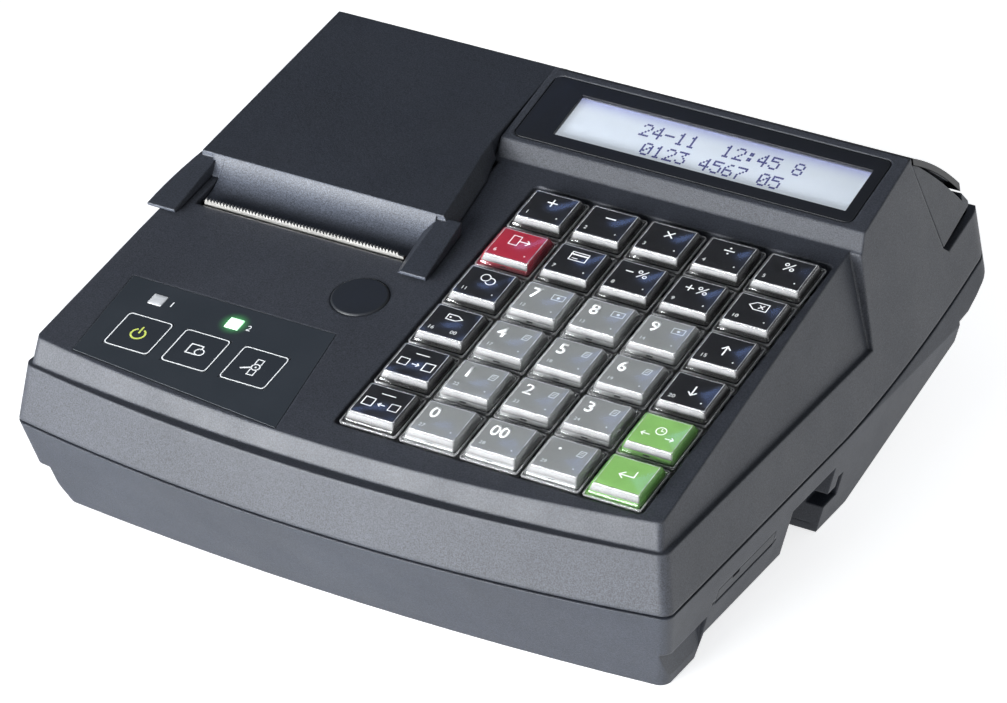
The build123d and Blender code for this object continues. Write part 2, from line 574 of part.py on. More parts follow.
# ---------------------------------------------------------------- displays
with BuildPart() as display_window:
    with BuildSketch(DISP.offset(-1.5)):
        with Locations((32.6, 15.0)):
            RectangleRounded(100.4, 26.0, 2.0)
    extrude(amount=1.5)
display_window.part.label = "display_window"
export_step(display_window.part, "parts/display_window.step")

with BuildPart() as display_module:
    with BuildSketch(DISP.offset(-8.2)):
        with Locations((35.4, 15.8)):
            Rectangle(94.0, 22.5)
    extrude(amount=6.0)
    with BuildSketch(DISP.offset(-2.6)):
        with Locations((35.4, 15.8)):
            Rectangle(86.4, 15.4)
    extrude(amount=2.0, mode=Mode.SUBTRACT)
display_module.part.label = "display_module"
export_step(display_module.part, "parts/display_module.step")

CUST_A = math.radians(38.5)
CUST_Y = CROWN_Y + CROWN_R * math.sin(CUST_A)
CUST_Z = CROWN_Z + CROWN_R * math.cos(CUST_A)
CUST = Plane(origin=(33.0, CUST_Y, CUST_Z), x_dir=(1, 0, 0), z_dir=(0, math.sin(CUST_A), math.cos(CUST_A)))

with BuildPart() as frame_hollow:
    add(prism(DISP_X0 + WALL + 2.3, 100, [(50, crown(50, 3.9)), (70, crown(70, 3.9), 0), (82.5, crown(82.5, 3.9)), (82.5, 59.7), (70, 56.2), (50, 56.2)]))
    add(inner_form, mode=Mode.INTERSECT)
with BuildPart() as rear_display_frame:
    add(prism(DISP_X0 + WALL + 0.3, 100, [
        (58.2, crown(58.2, 1.9)), (71, crown(71, 1.9), 0), (83.5, crown(83.5, 1.9)), (87.2, crown(87.2, 1.9)), (91.6, crown(91.6, 0.8)), (91.6, 56.5),
        (73.2, 52.75), (70.3, 54.6)]))
    add(outer_form, mode=Mode.INTERSECT)
    add(frame_hollow.part, mode=Mode.SUBTRACT)
    # slot along the foot of the frame and groove under the window, both cut into the right end
    add(prism(87.4, 100, [(70.3, 54.6), (87.2, 59.35), (87.2, 70), (100, 70), (100, 48), (68, 48)]), mode=Mode.SUBTRACT)
    add(prism(84.6, 100, [(60.2, crown(60.2, 1.7)), (71, crown(71, 3.1), 0), (83.9, crown(83.9, 3.5)), (83.9, crown(83.9, 1.0)), (60.2, crown(60.2, 1.0))]), mode=Mode.SUBTRACT)
    with BuildSketch(CUST.offset(-7)):
        Rectangle(82.0, 9.5)
    extrude(amount=8, mode=Mode.SUBTRACT)
rear_display_frame.part.label = "rear_display_frame"
export_step(rear_display_frame.part, "parts/rear_display_frame.step")

with BuildPart() as customer_window:
    add(prism(DISP_X0 + WALL + 0.4, 100, [
        (58.9, crown(58.9)), (71, crown(71), 0), (83.5, crown(83.5)), (83.5, crown(83.5, 1.7)), (71, crown(71, 1.7), 0), (58.9, crown(58.9, 1.7))]))
    add(outer_form, mode=Mode.INTERSECT)
customer_window.part.label = "customer_window"
export_step(customer_window.part, "parts/customer_window.step")

with BuildPart() as customer_module:
    with BuildSketch(CUST.offset(-8.2)):
        Rectangle(90.0, 13.0)
    extrude(amount=4.0)
    with BuildSketch(CUST.offset(-4.6)):
        Rectangle(80.0, 8.5)
    extrude(amount=2.0, mode=Mode.SUBTRACT)
customer_module.part.label = "customer_module"
export_step(customer_module.part, "parts/customer_module.step")

# ---------------------------------------------------------------- overlay, lenses and plug
with BuildPart() as membrane_overlay:
    with BuildSketch(DECK.offset(-0.3)):
        with BuildLine():
            Polyline(*OVER, close=True)
        make_face()
        offset(amount=-0.15)
        with Locations(*ZONES):
            Rectangle(ZONE + 0.2, ZONE + 0.2, mode=Mode.SUBTRACT)
        with Locations(*LENSES):
            Rectangle(LENS + 0.2, LENS + 0.2, mode=Mode.SUBTRACT)
    extrude(amount=0.35)
    add(outer_form.moved(Location((0, 0, 0.06))), mode=Mode.INTERSECT)
membrane_overlay.part.label = "membrane_overlay"
export_step(membrane_overlay.part, "parts/membrane_overlay.step")

for (zx, zy), zone_name in zip(ZONES, ("power_key", "feed_key", "function_key")):
    with BuildPart() as zone_key:
        with BuildSketch(DECK.offset(-0.5)):
            with Locations((zx, zy)):
                RectangleRounded(ZONE - 0.4, ZONE - 0.4, 1.8)
        extrude(amount=0.65)
        with BuildSketch(DECK.offset(-2.8)):
            with Locations((zx, zy)):
                Rectangle(10.4, 10.4)
        extrude(amount=2.4)
    zone_key.part.label = zone_name
    export_step(zone_key.part, "parts/" + zone_name + ".step")

with BuildPart() as indicator_lenses:
    with BuildSketch(DECK.offset(-2.2)):
        with Locations(*LENSES):
            Rectangle(LENS, LENS)
    extrude(amount=2.4)
indicator_lenses.part.label = "indicator_lenses"
export_step(indicator_lenses.part, "parts/indicator_lenses.step")

with BuildPart() as seal_plug:
    with BuildSketch(DECK.offset(-0.9)):
        with Locations(PLUG):
            Circle(PLUG_R - 0.15)
    extrude(amount=0.9)
    with BuildSketch(DECK):
        with Locations(PLUG):
            Circle(PLUG_R - 0.15)
    extrude(amount=0.4, taper=45)
    with BuildSketch(DECK.offset(-3.4)):
        with Locations(PLUG):
            Circle(PLUG_R - 2.15)
            Circle(PLUG_R - 3.2, mode=Mode.SUBTRACT)
    extrude(amount=2.6)
seal_plug.part.label = "seal_plug"
export_step(seal_plug.part, "parts/seal_plug.step")

# ---------------------------------------------------------------- keys
for i, (kx, ky) in enumerate(KEY_C):
    key_name = "key_r%dc%d" % (i // COLS + 1, i % COLS + 1)
    with BuildPart() as key:
        with BuildSketch(DECK.offset(-1.0)):
            with Locations((kx, ky)):
                RectangleRounded(FLANGE, FLANGE, 0.8)
        extrude(amount=1.0)
        with BuildSketch(DECK):
            with Locations((kx, ky)):
                RectangleRounded(15.2, 14.8, 0.9)
        with BuildSketch(DECK.offset(CAP_H)):
            with Locations((kx + 0.55, ky - 0.3)):
                RectangleRounded(13.6, 12.0, 0.9)
        loft()
        with BuildSketch(DECK.offset(-9.6)):
            with Locations((kx, ky)):
                Rectangle(STEM, STEM)
        extrude(amount=8.8)
        with BuildSketch(DECK.offset(-9.6)):
            with Locations((kx, ky)):
                Rectangle(STEM - 2.4, STEM - 2.4)
        extrude(amount=7.2, mode=Mode.SUBTRACT)
        with BuildSketch(DECK.offset(-6.5)):
            with Locations((kx, ky)):
                Rectangle(4.0, 4.0)
        extrude(amount=4.4)
    key.part.label = key_name
    export_step(key.part, "parts/" + key_name + ".step")

with BuildPart() as dome_mat:
    with BuildSketch(DECK.offset(MAT_H - 0.8)):
        with Locations((26.2, -35.0)):
            Rectangle(90.0, 108.0)
        with Locations((52.6, -73.2)):
            Circle(3.6, mode=Mode.SUBTRACT)
    extrude(amount=0.8)
    with BuildSketch(DECK.offset(MAT_H)):
        with Locations(*KEY_C):
            Circle(4.0)
    extrude(amount=3.0, taper=12)
dome_mat.part.label = "dome_mat"
export_step(dome_mat.part, "parts/dome_mat.step")

with BuildPart() as keyboard_board:
    with BuildSketch(DECK.offset(MAT_H - 2.4)):
        with Locations((26.2, -35.0)):
            Rectangle(92.0, 110.0)
        with Locations((52.6, -73.4)):
            Circle(3.6, mode=Mode.SUBTRACT)
    extrude(amount=1.6)
keyboard_board.part.label = "keyboard_board"
export_step(keyboard_board.part, "parts/keyboard_board.step")

# ---------------------------------------------------------------- electronics
with BuildPart() as main_board:
    add(block(-14.0, 66.0, -56.0, 38.0, 12.0, 13.6))
    add(block(4.0, 24.0, -30.0, -10.0, 13.5, 15.6))
    add(block(34.0, 46.0, -40.0, -32.0, 13.5, 15.2))
    add(block(0.0, 12.0, 12.0, 30.0, 13.5, 16.4))
    with BuildSketch(Plane.XY.offset(13.5)):
        with Locations((40, 20), (50, 20), (40, 32)):
            Circle(4.0)
    extrude(amount=11.0)
main_board.part.label = "main_board"
export_step(main_board.part, "parts/main_board.step")

with BuildPart() as port_block:
    add(block(50.0, 69.6, -19.7, 0.7, 13.6, 20.3))
    with BuildSketch(Plane.YZ.offset(63.0)):
        with Locations((-15.6, 17.0)):
            Circle(2.6)
        with Locations((-8.2, 16.9)):
            Rectangle(6.4, 4.6)
        with Locations((-1.9, 16.6)):
            Rectangle(3.4, 3.4)
    extrude(amount=8.0, mode=Mode.SUBTRACT)
port_block.part.label = "port_block"
export_step(port_block.part, "parts/port_block.step")

with BuildPart() as battery_pack:
    add(block(-88.0, -29.5, -58.5, -19.5, BAT_Z + 4.2, 27.0))
battery_pack.part.label = "battery_pack"
export_step(battery_pack.part, "parts/battery_pack.step")

with BuildPart() as battery_door:
    add(block(-92.5, -30.6, BAT_Y0 + 0.35, BAT_Y1 - 0.35, BAT_Z, BAT_Z + 3.6))
    add(block(-92.5, -30.0, BAT_Y0 - 1.45, BAT_Y1 + 1.45, BAT_Z + WALL + 0.3, BAT_Z + 3.6))
    with BuildSketch(Plane.XY.offset(BAT_Z - 0.1)):
        with Locations((-80, -39), (-77, -39), (-74, -39), (-71, -39), (-68, -39)):
            Rectangle(1.2, 20)
    extrude(amount=0.7, mode=Mode.SUBTRACT)
battery_door.part.label = "battery_door"
export_step(battery_door.part, "parts/battery_door.step")

# ---------------------------------------------------------------- card cover
cb, sb = math.cos(CARD_B), math.sin(CARD_B)
with BuildPart() as card_cover:
    with BuildSketch(Plane.XZ.offset(-CARD_Y1 + 0.3)):
        with BuildLine():
            Polyline((CARD_X + 0.9 * sb, CARD_Z + 0.9 * cb), (CARD_X + 4.4 * sb, CARD_Z + 4.4 * cb),
                     (CARD_X + 4.4 * sb - 1.6 * cb, CARD_Z + 4.4 * cb + 1.6 * sb), (CARD_X + 0.9 * sb - 1.6 * cb, CARD_Z + 0.9 * cb + 1.6 * sb), close=True)
        make_face()
        with Locations((CARD_AX, CARD_AZ)):
            Circle(0.8)
    extrude(amount=CARD_Y1 - CARD_Y0 - 0.6)
    with BuildSketch(Plane.XZ.offset(-CARD_Y1 - 0.9)):
        with Locations((CARD_AX, CARD_AZ)):
            Circle(0.8)
    extrude(amount=CARD_Y1 - CARD_Y0 + 1.8)
    with BuildSketch(SIDE.offset(1)):
        with Locations((-6.0, 4.2)):
            Rectangle(4.0, 1.6)
    extrude(amount=-3.0, mode=Mode.SUBTRACT)
card_cover.part.label = "card_cover"
export_step(card_cover.part, "parts/card_cover.step")

# ---------------------------------------------------------------- pads and screws
with BuildPart() as rubber_feet:
    with BuildSketch(Plane.XY):
        with Locations((-44, -75), (44, -75)):
            RectangleRounded(30.0, 8.0, 2.8)
        with Locations((-56, 15), (56, 15)):
            RectangleRounded(30.0, 10.0, 2.8)
    extrude(amount=FOOT + 0.8)
rubber_feet.part.label = "rubber_feet"
export_step(rubber_feet.part, "parts/rubber_feet.step")

with BuildPart() as case_screws:
    for bx, by, b0, bj, bt, br in PILLARS:
        with BuildSketch(Plane.XY.offset(b0 + 3.8)):
            with Locations((bx, by)):
                Circle(2.8)
        extrude(amount=2.2)
        with BuildSketch(Plane.XY.offset(b0 + 5.8)):
            with Locations((bx, by)):
                Circle(SCREW_R)
        extrude(amount=bj + 5.0 - b0 - 5.8)
        with BuildSketch(Plane.XY.offset(b0 + 3.8)):
            with Locations((bx, by)):
                Rectangle(3.2, 0.8)
                Rectangle(0.8, 3.2)
        extrude(amount=1.2, mode=Mode.SUBTRACT)
case_screws.part.label = "case_screws"
export_step(case_screws.part, "parts/case_screws.step")
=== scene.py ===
import json
import math

import bmesh
import bpy
from mathutils import Matrix, Vector


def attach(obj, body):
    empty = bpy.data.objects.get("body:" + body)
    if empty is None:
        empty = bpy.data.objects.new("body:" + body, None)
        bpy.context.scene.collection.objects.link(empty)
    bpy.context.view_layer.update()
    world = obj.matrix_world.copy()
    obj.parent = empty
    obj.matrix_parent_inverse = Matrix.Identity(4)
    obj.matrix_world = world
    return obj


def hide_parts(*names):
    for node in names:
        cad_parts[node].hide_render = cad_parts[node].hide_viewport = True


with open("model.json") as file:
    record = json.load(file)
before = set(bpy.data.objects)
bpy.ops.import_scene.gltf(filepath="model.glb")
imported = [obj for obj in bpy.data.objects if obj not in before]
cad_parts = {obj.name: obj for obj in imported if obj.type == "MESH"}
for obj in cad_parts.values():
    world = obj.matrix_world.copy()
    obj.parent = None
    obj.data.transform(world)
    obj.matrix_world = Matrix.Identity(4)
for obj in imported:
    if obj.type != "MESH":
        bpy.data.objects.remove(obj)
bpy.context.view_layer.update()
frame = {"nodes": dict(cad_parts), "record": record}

NODES = frame["nodes"]
BODY_OF = {n: b for b, ns in frame["record"]["behaviour"]["bodies"].items() for n in ns}
scene = bpy.context.scene
MM = 0.001

# ------------------------------------------------------------------ planes of the object, in millimetres
TILT = math.radians(10.37)
CA, SA = math.cos(TILT), math.sin(TILT)
DT = math.atan2(85.6 - 77.7, 58.0 - 28.2)


def deck_matrix(x, y, h=0.0):
    """Frame on the sloping deck: x across, y up the slope, h out of it. Local units are metres."""
    o = Vector((13.8 + x, y * CA - h * SA, 68.5 + y * SA + h * CA)) * MM
    m = Matrix(((1, 0, 0), (0, CA, -SA), (0, SA, CA))).to_4x4()
    m.translation = o
    return m


def disp_matrix(x, t, h=0.0):
    """Frame on the operator display's face."""
    c, s = math.cos(DT), math.sin(DT)
    o = Vector((x, 28.2 + t * c - h * s, 77.7 + t * s + h * c)) * MM
    m = Matrix(((1, 0, 0), (0, c, -s), (0, s, c))).to_4x4()
    m.translation = o
    return m


# ------------------------------------------------------------------ materials
class Mat:
    """A material under construction, with a Principled shader and object coordinates."""

    def __init__(self, name):
        self.m = bpy.data.materials.new(name)
        self.m.use_nodes = True
        self.nt = self.m.node_tree
        self.nt.nodes.clear()
        self.out = self.add("ShaderNodeOutputMaterial")
        self.p = self.add("ShaderNodeBsdfPrincipled")
        self.link(self.p.outputs[0], self.out.inputs["Surface"])
        self.co = self.add("ShaderNodeTexCoord").outputs["Object"]

    def add(self, kind, **props):
        n = self.nt.nodes.new(kind)
        for k, v in props.items():
            setattr(n, k, v)
        return n

    def link(self, a, b):
        self.nt.links.new(a, b)

    def set(self, **values):
        for k, v in values.items():
            self.p.inputs[k.replace("_", " ")].default_value = v
        return self

    def noise(self, scale, detail=2.0, rough=0.5, stretch=None):
        n = self.add("ShaderNodeTexNoise")
        n.inputs["Scale"].default_value = scale
        n.inputs["Detail"].default_value = detail
        n.inputs["Roughness"].default_value = rough
        src = self.co
        if stretch:
            mp = self.add("ShaderNodeMapping")
            mp.inputs["Scale"].default_value = stretch
            self.link(src, mp.inputs["Vector"])
            src = mp.outputs[0]
        self.link(src, n.inputs["Vector"])
        return n.outputs["Fac"]

    def ramp(self, fac, stops):
        r = self.add("ShaderNodeValToRGB")
        while len(r.color_ramp.elements) > len(stops):
            r.color_ramp.elements.remove(r.color_ramp.elements[-1])
        while len(r.color_ramp.elements) < len(stops):
            r.color_ramp.elements.new(0.5)
        for e, (pos, col) in zip(r.color_ramp.elements, stops):
            e.position = pos
            e.color = (*col, 1) if len(col) == 3 else col
        self.link(fac, r.inputs["Fac"])
        return r.outputs["Color"]

    def span(self, fac, a, b, lo=0.0, hi=1.0):
        r = self.add("ShaderNodeMapRange")
        r.inputs["From Min"].default_value = a
        r.inputs["From Max"].default_value = b
        r.inputs["To Min"].default_value = lo
        r.inputs["To Max"].default_value = hi
        self.link(fac, r.inputs["Value"])
        return r.outputs["Result"]

    def math(self, op, a, b=None):
        n = self.add("ShaderNodeMath", operation=op)
        for i, v in enumerate((a, b)):
            if v is None:
                continue
            if isinstance(v, (int, float)):
                n.inputs[i].default_value = v
            else:
                self.link(v, n.inputs[i])
        return n.outputs[0]

    def mix(self, fac, a, b, kind="MIX"):
        n = self.add("ShaderNodeMix", data_type="RGBA", blend_type=kind)
        for key, v in (("Factor", fac), ("A", a), ("B", b)):
            sock = [s for s in n.inputs if s.name == key and (s.type == "RGBA" or key == "Factor") and s.enabled][0]
            if isinstance(v, (int, float)):
                sock.default_value = v
            elif isinstance(v, (tuple, list)):
                sock.default_value = (*v, 1) if len(v) == 3 else v
            else:
                self.link(v, sock)
        return [s for s in n.outputs if s.type == "RGBA"][0]

    def edges(self, radius):
        """Normal rounded over the edges, and how much of an edge there is at a spot."""
        b = self.add("ShaderNodeBevel", samples=6)
        b.inputs["Radius"].default_value = radius
        g = self.add("ShaderNodeNewGeometry")
        d = self.add("ShaderNodeVectorMath", operation="DOT_PRODUCT")
        self.link(b.outputs[0], d.inputs[0])
        self.link(g.outputs["Normal"], d.inputs[1])
        return b.outputs[0], self.span(d.outputs["Value"], 1.0, 0.75)

    def bump(self, height, distance, strength=1.0, normal=None):
        b = self.add("ShaderNodeBump")
        b.inputs["Distance"].default_value = distance
        b.inputs["Strength"].default_value = strength
        self.link(height, b.inputs["Height"])
        if normal is not None:
            self.link(normal, b.inputs["Normal"])
        return b.outputs[0]

    def to(self, **links):
        for k, v in links.items():
            self.link(v, self.p.inputs[k.replace("_", " ")])
        return self


def srgb(h):
    """Linear colour of a hex colour."""
    out = []
    for i in (0, 2, 4):
        v = int(h[i:i + 2], 16) / 255
        out.append(v / 12.92 if v <= 0.04045 else ((v + 0.055) / 1.055) ** 2.4)
    return tuple(out)


def moulded(name, colour, rough=0.5, grain=1.0, wear_and_highlight=0.25, radius=0.0010, spec=0.5, mottle=0.08, front=1.0):
    """Moulded plastic with a fine eroded texture, slightly polished and paler along its edges from wear and a painted
    highlight; faces that look to the front can be painted lighter.
    """
    m = Mat(name)
    m.set(Specular_IOR_Level=spec)
    cell = m.noise(2700, 1.0, 0.5)
    fine = m.noise(4600, 1.0, 0.5)
    broad = m.noise(34, 3.0, 0.55)
    round_n, edge = m.edges(radius)
    dark = tuple(c * (1 - mottle) for c in colour)
    pale = tuple(c * (1 + mottle) for c in colour)
    base = m.ramp(broad, [(0.3, dark), (0.7, pale)])
    speck = m.span(cell, 0.30, 0.70, 0.50, 1.55)
    spk = m.add("ShaderNodeCombineColor")
    for i in range(3):
        m.link(speck, spk.inputs[i])
    base = m.mix(0.9 * grain, base, m.mix(1.0, base, spk.outputs[0], "MULTIPLY"))
    # paler along the edges in patches: rubbed wear and a painted edge highlight
    rub_and_highlight = m.math("MULTIPLY", edge, m.span(m.noise(420, 3.0, 0.7), 0.40, 0.62))
    base = m.mix(m.math("MULTIPLY", rub_and_highlight, wear_and_highlight), base, tuple(min(1, c * 2.6 + 0.01) for c in colour))
    r = m.span(m.noise(60, 4.0, 0.6), 0.2, 0.8, rough - 0.05, rough + 0.06)
    r = m.math("SUBTRACT", r, m.math("MULTIPLY", edge, 0.10))
    if front != 1.0:
        # painted light: faces that look to the front are painted up to `front` times lighter, as if the front lamp lit
        # them more
        nz = m.add("ShaderNodeNewGeometry")
        sp = m.add("ShaderNodeSeparateXYZ")
        m.link(nz.outputs["Normal"], sp.inputs[0])
        painted_front_light = m.span(sp.outputs["Y"], -0.35, -0.75, 1.0, front)
        g3 = m.add("ShaderNodeCombineColor")
        for i in range(3):
            m.link(painted_front_light, g3.inputs[i])
        base = m.mix(1.0, base, g3.outputs[0], "MULTIPLY")
    n = m.bump(fine, 0.00007 * grain, 0.8, round_n)
    m.to(Base_Color=base, Roughness=r, Normal=n)
    return m.m


def satin(name, colour, rough=0.4, radius=0.0004, spec=0.5, coat=0.0):
    """Smooth moulded plastic with faint flow marks and a painted highlight along its edges."""
    m = Mat(name)
    m.set(Specular_IOR_Level=spec, Coat_Weight=coat, Coat_Roughness=0.12)
    round_n, edge = m.edges(radius)
    tone = m.noise(45, 3.0, 0.5)
    base = m.ramp(tone, [(0.25, tuple(c * 0.9 for c in colour)), (0.75, tuple(c * 1.12 for c in colour))])
    # painted highlight: paler colour along the edges
    base = m.mix(m.math("MULTIPLY", edge, 0.25), base, tuple(min(1, c * 2 + 0.01) for c in colour))
    marks = m.noise(260, 4.0, 0.7, (1, 0.25, 1))
    r = m.span(marks, 0.25, 0.8, rough - 0.06, rough + 0.08)
    n = m.bump(m.noise(1500, 2.0, 0.5), 0.00003, 0.6, round_n)
    m.to(Base_Color=base, Roughness=r, Normal=n)
    return m.m


def metal(name, colour, rough=0.3, brushed=(1, 40, 40), scale=60, radius=0.00015):
    m = Mat(name)
    m.set(Metallic=1.0)
    round_n = m.edges(radius)[0] if radius else None
    grain = m.noise(scale, 6.0, 0.7, brushed)
    base = m.ramp(grain, [(0.25, tuple(c * 0.78 for c in colour)), (0.75, colour)])
    r = m.span(grain, 0.2, 0.8, rough - 0.06, rough + 0.14)
    n = m.bump(grain, 0.00002, 0.5, round_n)
    m.to(Base_Color=base, Roughness=r, Normal=n)
    return m.m


def rubber(name, colour, rough=0.75):
    m = Mat(name)
    round_n, edge = m.edges(0.0003)
    g = m.noise(1700, 3.0, 0.6)
    base = m.ramp(m.noise(70, 3.0, 0.6), [(0.3, tuple(c * 0.8 for c in colour)), (0.7, tuple(c * 1.25 for c in colour))])
    # painted highlight: paler colour along the edges
    base = m.mix(m.math("MULTIPLY", edge, 0.3), base, tuple(min(1, c * 2 + 0.02) for c in colour))
    m.to(Base_Color=base, Roughness=m.span(g, 0.2, 0.8, rough - 0.1, rough + 0.12), Normal=m.bump(g, 0.00006, 0.7, round_n))
    return m.m


SHELL = (0.029, 0.032, 0.041)
M = {}
M["shell"] = moulded("anthracite_moulding", SHELL, rough=0.52)
M["base"] = moulded("anthracite_base", (0.0185, 0.0222, 0.0320), rough=0.56, mottle=0.10)
# front=2.3 paints the cover's forward-facing slope lighter: painted light
M["cover"] = moulded("anthracite_cover", (0.0215, 0.0245, 0.0325), rough=0.50, radius=0.0007, front=2.3)
M["pod"] = moulded("anthracite_pod", (0.028, 0.031, 0.039), rough=0.53, radius=0.0005)
M["bezel"] = satin("bezel_black", (0.011, 0.012, 0.015), rough=0.36, radius=0.00012, spec=0.3)
M["plug"] = satin("plug_plastic", (0.013, 0.015, 0.019), rough=0.42, radius=0.0005)
M["door"] = moulded("door_plastic", (0.024, 0.027, 0.035), rough=0.58, radius=0.0004)
M["port"] = satin("port_plastic", (0.008, 0.008, 0.009), rough=0.4)
M["bucket"] = satin("bucket_plastic", (0.05, 0.05, 0.055), rough=0.5)
M["pad"] = rubber("pad_rubber", (0.018, 0.018, 0.019))
M["platen"] = rubber("platen_rubber", (0.03, 0.03, 0.032), rough=0.6)
M["dome"] = rubber("dome_silicone", (0.42, 0.43, 0.44), rough=0.5)
M["blade"] = metal("blade_steel", (0.46, 0.45, 0.43), rough=0.40, radius=0)
M["screw"] = metal("screw_steel", (0.42, 0.41, 0.39), rough=0.34, brushed=(1, 1, 1), scale=900)
M["chassis"] = metal("chassis_zinc", (0.58, 0.59, 0.58), rough=0.36, brushed=(1, 1, 1), scale=220)
M["alu"] = metal("head_aluminium", (0.75, 0.76, 0.77), rough=0.32)
M["brass"] = metal("pinion_brass", (0.72, 0.52, 0.24), rough=0.3, brushed=(30, 1, 1))

# paper: white rolled edge with thin winding lines on the ends
m = Mat("paper_roll")
sep = m.add("ShaderNodeSeparateXYZ")
m.link(m.co, sep.inputs[0])
dy = m.math("SUBTRACT", sep.outputs["Y"], 0.0225)
dzz = m.math("SUBTRACT", sep.outputs["Z"], 0.043)
rad = m.math("SQRT", m.math("ADD", m.math("MULTIPLY", dy, dy), m.math("MULTIPLY", dzz, dzz)))
wind = m.math("SINE", m.math("MULTIPLY", rad, 15000.0))
fib = m.noise(900, 4.0, 0.65)
base = m.ramp(fib, [(0.3, srgb("e9e7e1")), (0.7, srgb("f6f5f1"))])
base = m.mix(m.span(wind, -1, 1, 0.0, 0.12), base, srgb("b9b5ab"))
m.to(Base_Color=base, Roughness=m.span(fib, 0.2, 0.8, 0.82, 0.95), Normal=m.bump(m.math("ADD", wind, fib), 0.00002, 0.4))
M["paper"] = m.m

# circuit board: green mask over faint copper runs, with darker green patches at random
m = Mat("circuit_board")
run = m.add("ShaderNodeTexBrick")
run.inputs["Scale"].default_value = 260
run.inputs["Color1"].default_value = (0.010, 0.070, 0.032, 1)
run.inputs["Color2"].default_value = (0.012, 0.085, 0.038, 1)
run.inputs["Mortar"].default_value = (0.03, 0.16, 0.07, 1)
run.inputs["Mortar Size"].default_value = 0.03
m.link(m.co, run.inputs["Vector"])
base = m.mix(m.span(m.noise(300, 2.0), 0.4, 0.6, 0, 0.4), run.outputs["Color"], (0.014, 0.06, 0.03))
m.to(Base_Color=base, Roughness=m.span(m.noise(120, 3.0), 0.2, 0.8, 0.28, 0.45), Normal=m.bump(run.outputs["Fac"], 0.00003, 0.4))
M["board"] = m.m

# battery wrap: heat-shrink film with soft creases
m = Mat("battery_wrap")
cre = m.noise(110, 5.0, 0.6, (1, 3, 1))
base = m.ramp(cre, [(0.3, (0.02, 0.10, 0.24)), (0.7, (0.035, 0.15, 0.34))])
m.to(Base_Color=base, Roughness=m.span(cre, 0.2, 0.8, 0.22, 0.4), Normal=m.bump(cre, 0.0004, 0.5))
M["wrap"] = m.m

# overlay film: matt printed film, with a painted glow where light from the lit lens spreads in it, and a painted
# highlight along its edges
LED_G = deck_matrix(-61.4, -63.9).translation
m = Mat("overlay_film")
base = m.ramp(m.noise(60, 3.0), [(0.3, (0.020, 0.025, 0.031)), (0.7, (0.025, 0.030, 0.037))])
cell = m.noise(2600, 2.0, 0.6)
round_n, edge = m.edges(0.00018)
# painted highlight: paler colour along the film's edges
base = m.mix(m.math("MULTIPLY", edge, 0.55), base, (0.16, 0.17, 0.18))
dist = m.add("ShaderNodeVectorMath", operation="DISTANCE")
dist.inputs[1].default_value = LED_G
m.link(m.co, dist.inputs[0])
# painted glow: the film emits green light round the lit lens
painted_glow = m.math("POWER", m.span(dist.outputs["Value"], 0.0050, 0.0018), 2.2)
m.to(Base_Color=base, Roughness=m.span(cell, 0.2, 0.8, 0.40, 0.52), Normal=m.bump(cell, 0.00003, 0.6, round_n),
     Emission_Color=m.mix(painted_glow, (0, 0, 0), (0.10, 0.62, 0.16)))
m.set(Emission_Strength=0.55)
M["film"] = m.m
m = Mat("zone_film")
base = m.ramp(m.noise(60, 3.0), [(0.3, (0.018, 0.022, 0.027)), (0.7, (0.022, 0.026, 0.032))])
cell = m.noise(2600, 2.0, 0.6)
round_n, edge = m.edges(0.0002)
m.to(Base_Color=base, Roughness=m.span(cell, 0.2, 0.8, 0.36, 0.48), Normal=m.bump(cell, 0.00003, 0.6, round_n))
M["zone"] = m.m


def ink(name, colour, rough=0.5, painted_glow=0.0):
    m = Mat(name)
    g = m.noise(2500, 2.0, 0.6)
    base = m.ramp(g, [(0.25, tuple(c * 0.86 for c in colour)), (0.7, colour)])
    m.to(Base_Color=base, Roughness=m.span(g, 0.2, 0.8, rough - 0.05, rough + 0.1))
    # painted glow: the print emits a little light of its own colour, though it is no lamp
    if painted_glow:
        m.set(Emission_Color=(*colour, 1), Emission_Strength=painted_glow)
    return m.m


M["ink_white"] = ink("ink_white", srgb("eef0f2"), painted_glow=0.12)
M["ink_pale"] = ink("ink_pale", srgb("cfd6da"))
M["ink_green"] = ink("ink_yellowgreen", srgb("c3cf63"), painted_glow=0.2)
M["ink_print"] = ink("ink_print", srgb("f0f1f2"), painted_glow=0.10)


def card(name, colour, spread=0.06):
    """Printed insert under a key cap."""
    m = Mat(name)
    g = m.noise(900, 3.0, 0.6)
    b = m.noise(90, 2.0, 0.5)
    base = m.ramp(m.math("ADD", m.math("MULTIPLY", g, 0.4), m.math("MULTIPLY", b, 0.6)),
                  [(0.3, tuple(c * (1 - spread) for c in colour)), (0.7, tuple(min(1, c * (1 + spread)) for c in colour))])
    m.to(Base_Color=base, Roughness=m.span(g, 0.2, 0.8, 0.45, 0.6), Normal=m.bump(g, 0.00001, 0.4))
    return m.m


CARD = {"black": card("insert_black", (0.003, 0.0033, 0.005)), "red": card("insert_red", srgb("951a30")),
        "grey": card("insert_grey", srgb("787a7a")), "green": card("insert_green", srgb("77a35a"))}
SIDE = {"black": card("carrier_black", (0.02, 0.021, 0.026)), "red": card("carrier_red", srgb("7d1c2c")),
        "grey": card("carrier_grey", srgb("7f8181")), "green": card("carrier_green", srgb("4f7d38"))}


def painted_light_band(name, stops, streak=(1, 1, 5)):
    """Painted light on a wall seen through a clear cap: a bright band painted along its height, brightest in the
    middle, with fine flow lines.
    """
    m = Mat(name)
    sep = m.add("ShaderNodeSeparateXYZ")
    m.link(m.co, sep.inputs[0])
    base = m.ramp(m.span(sep.outputs["Z"], -0.001, 0.003), [(a, (v, v, v * 1.02)) for a, v in stops])
    g = m.noise(420, 4.0, 0.6, streak)
    lines = m.ramp(g, [(0.30, (0.82, 0.82, 0.82)), (0.50, (1, 1, 1)), (0.72, (1.12, 1.12, 1.12))])
    m.to(Base_Color=m.mix(1.0, base, lines, "MULTIPLY"), Roughness=m.span(g, 0.2, 0.8, 0.35, 0.55), Normal=m.bump(g, 0.00003, 0.5))
    return m.m
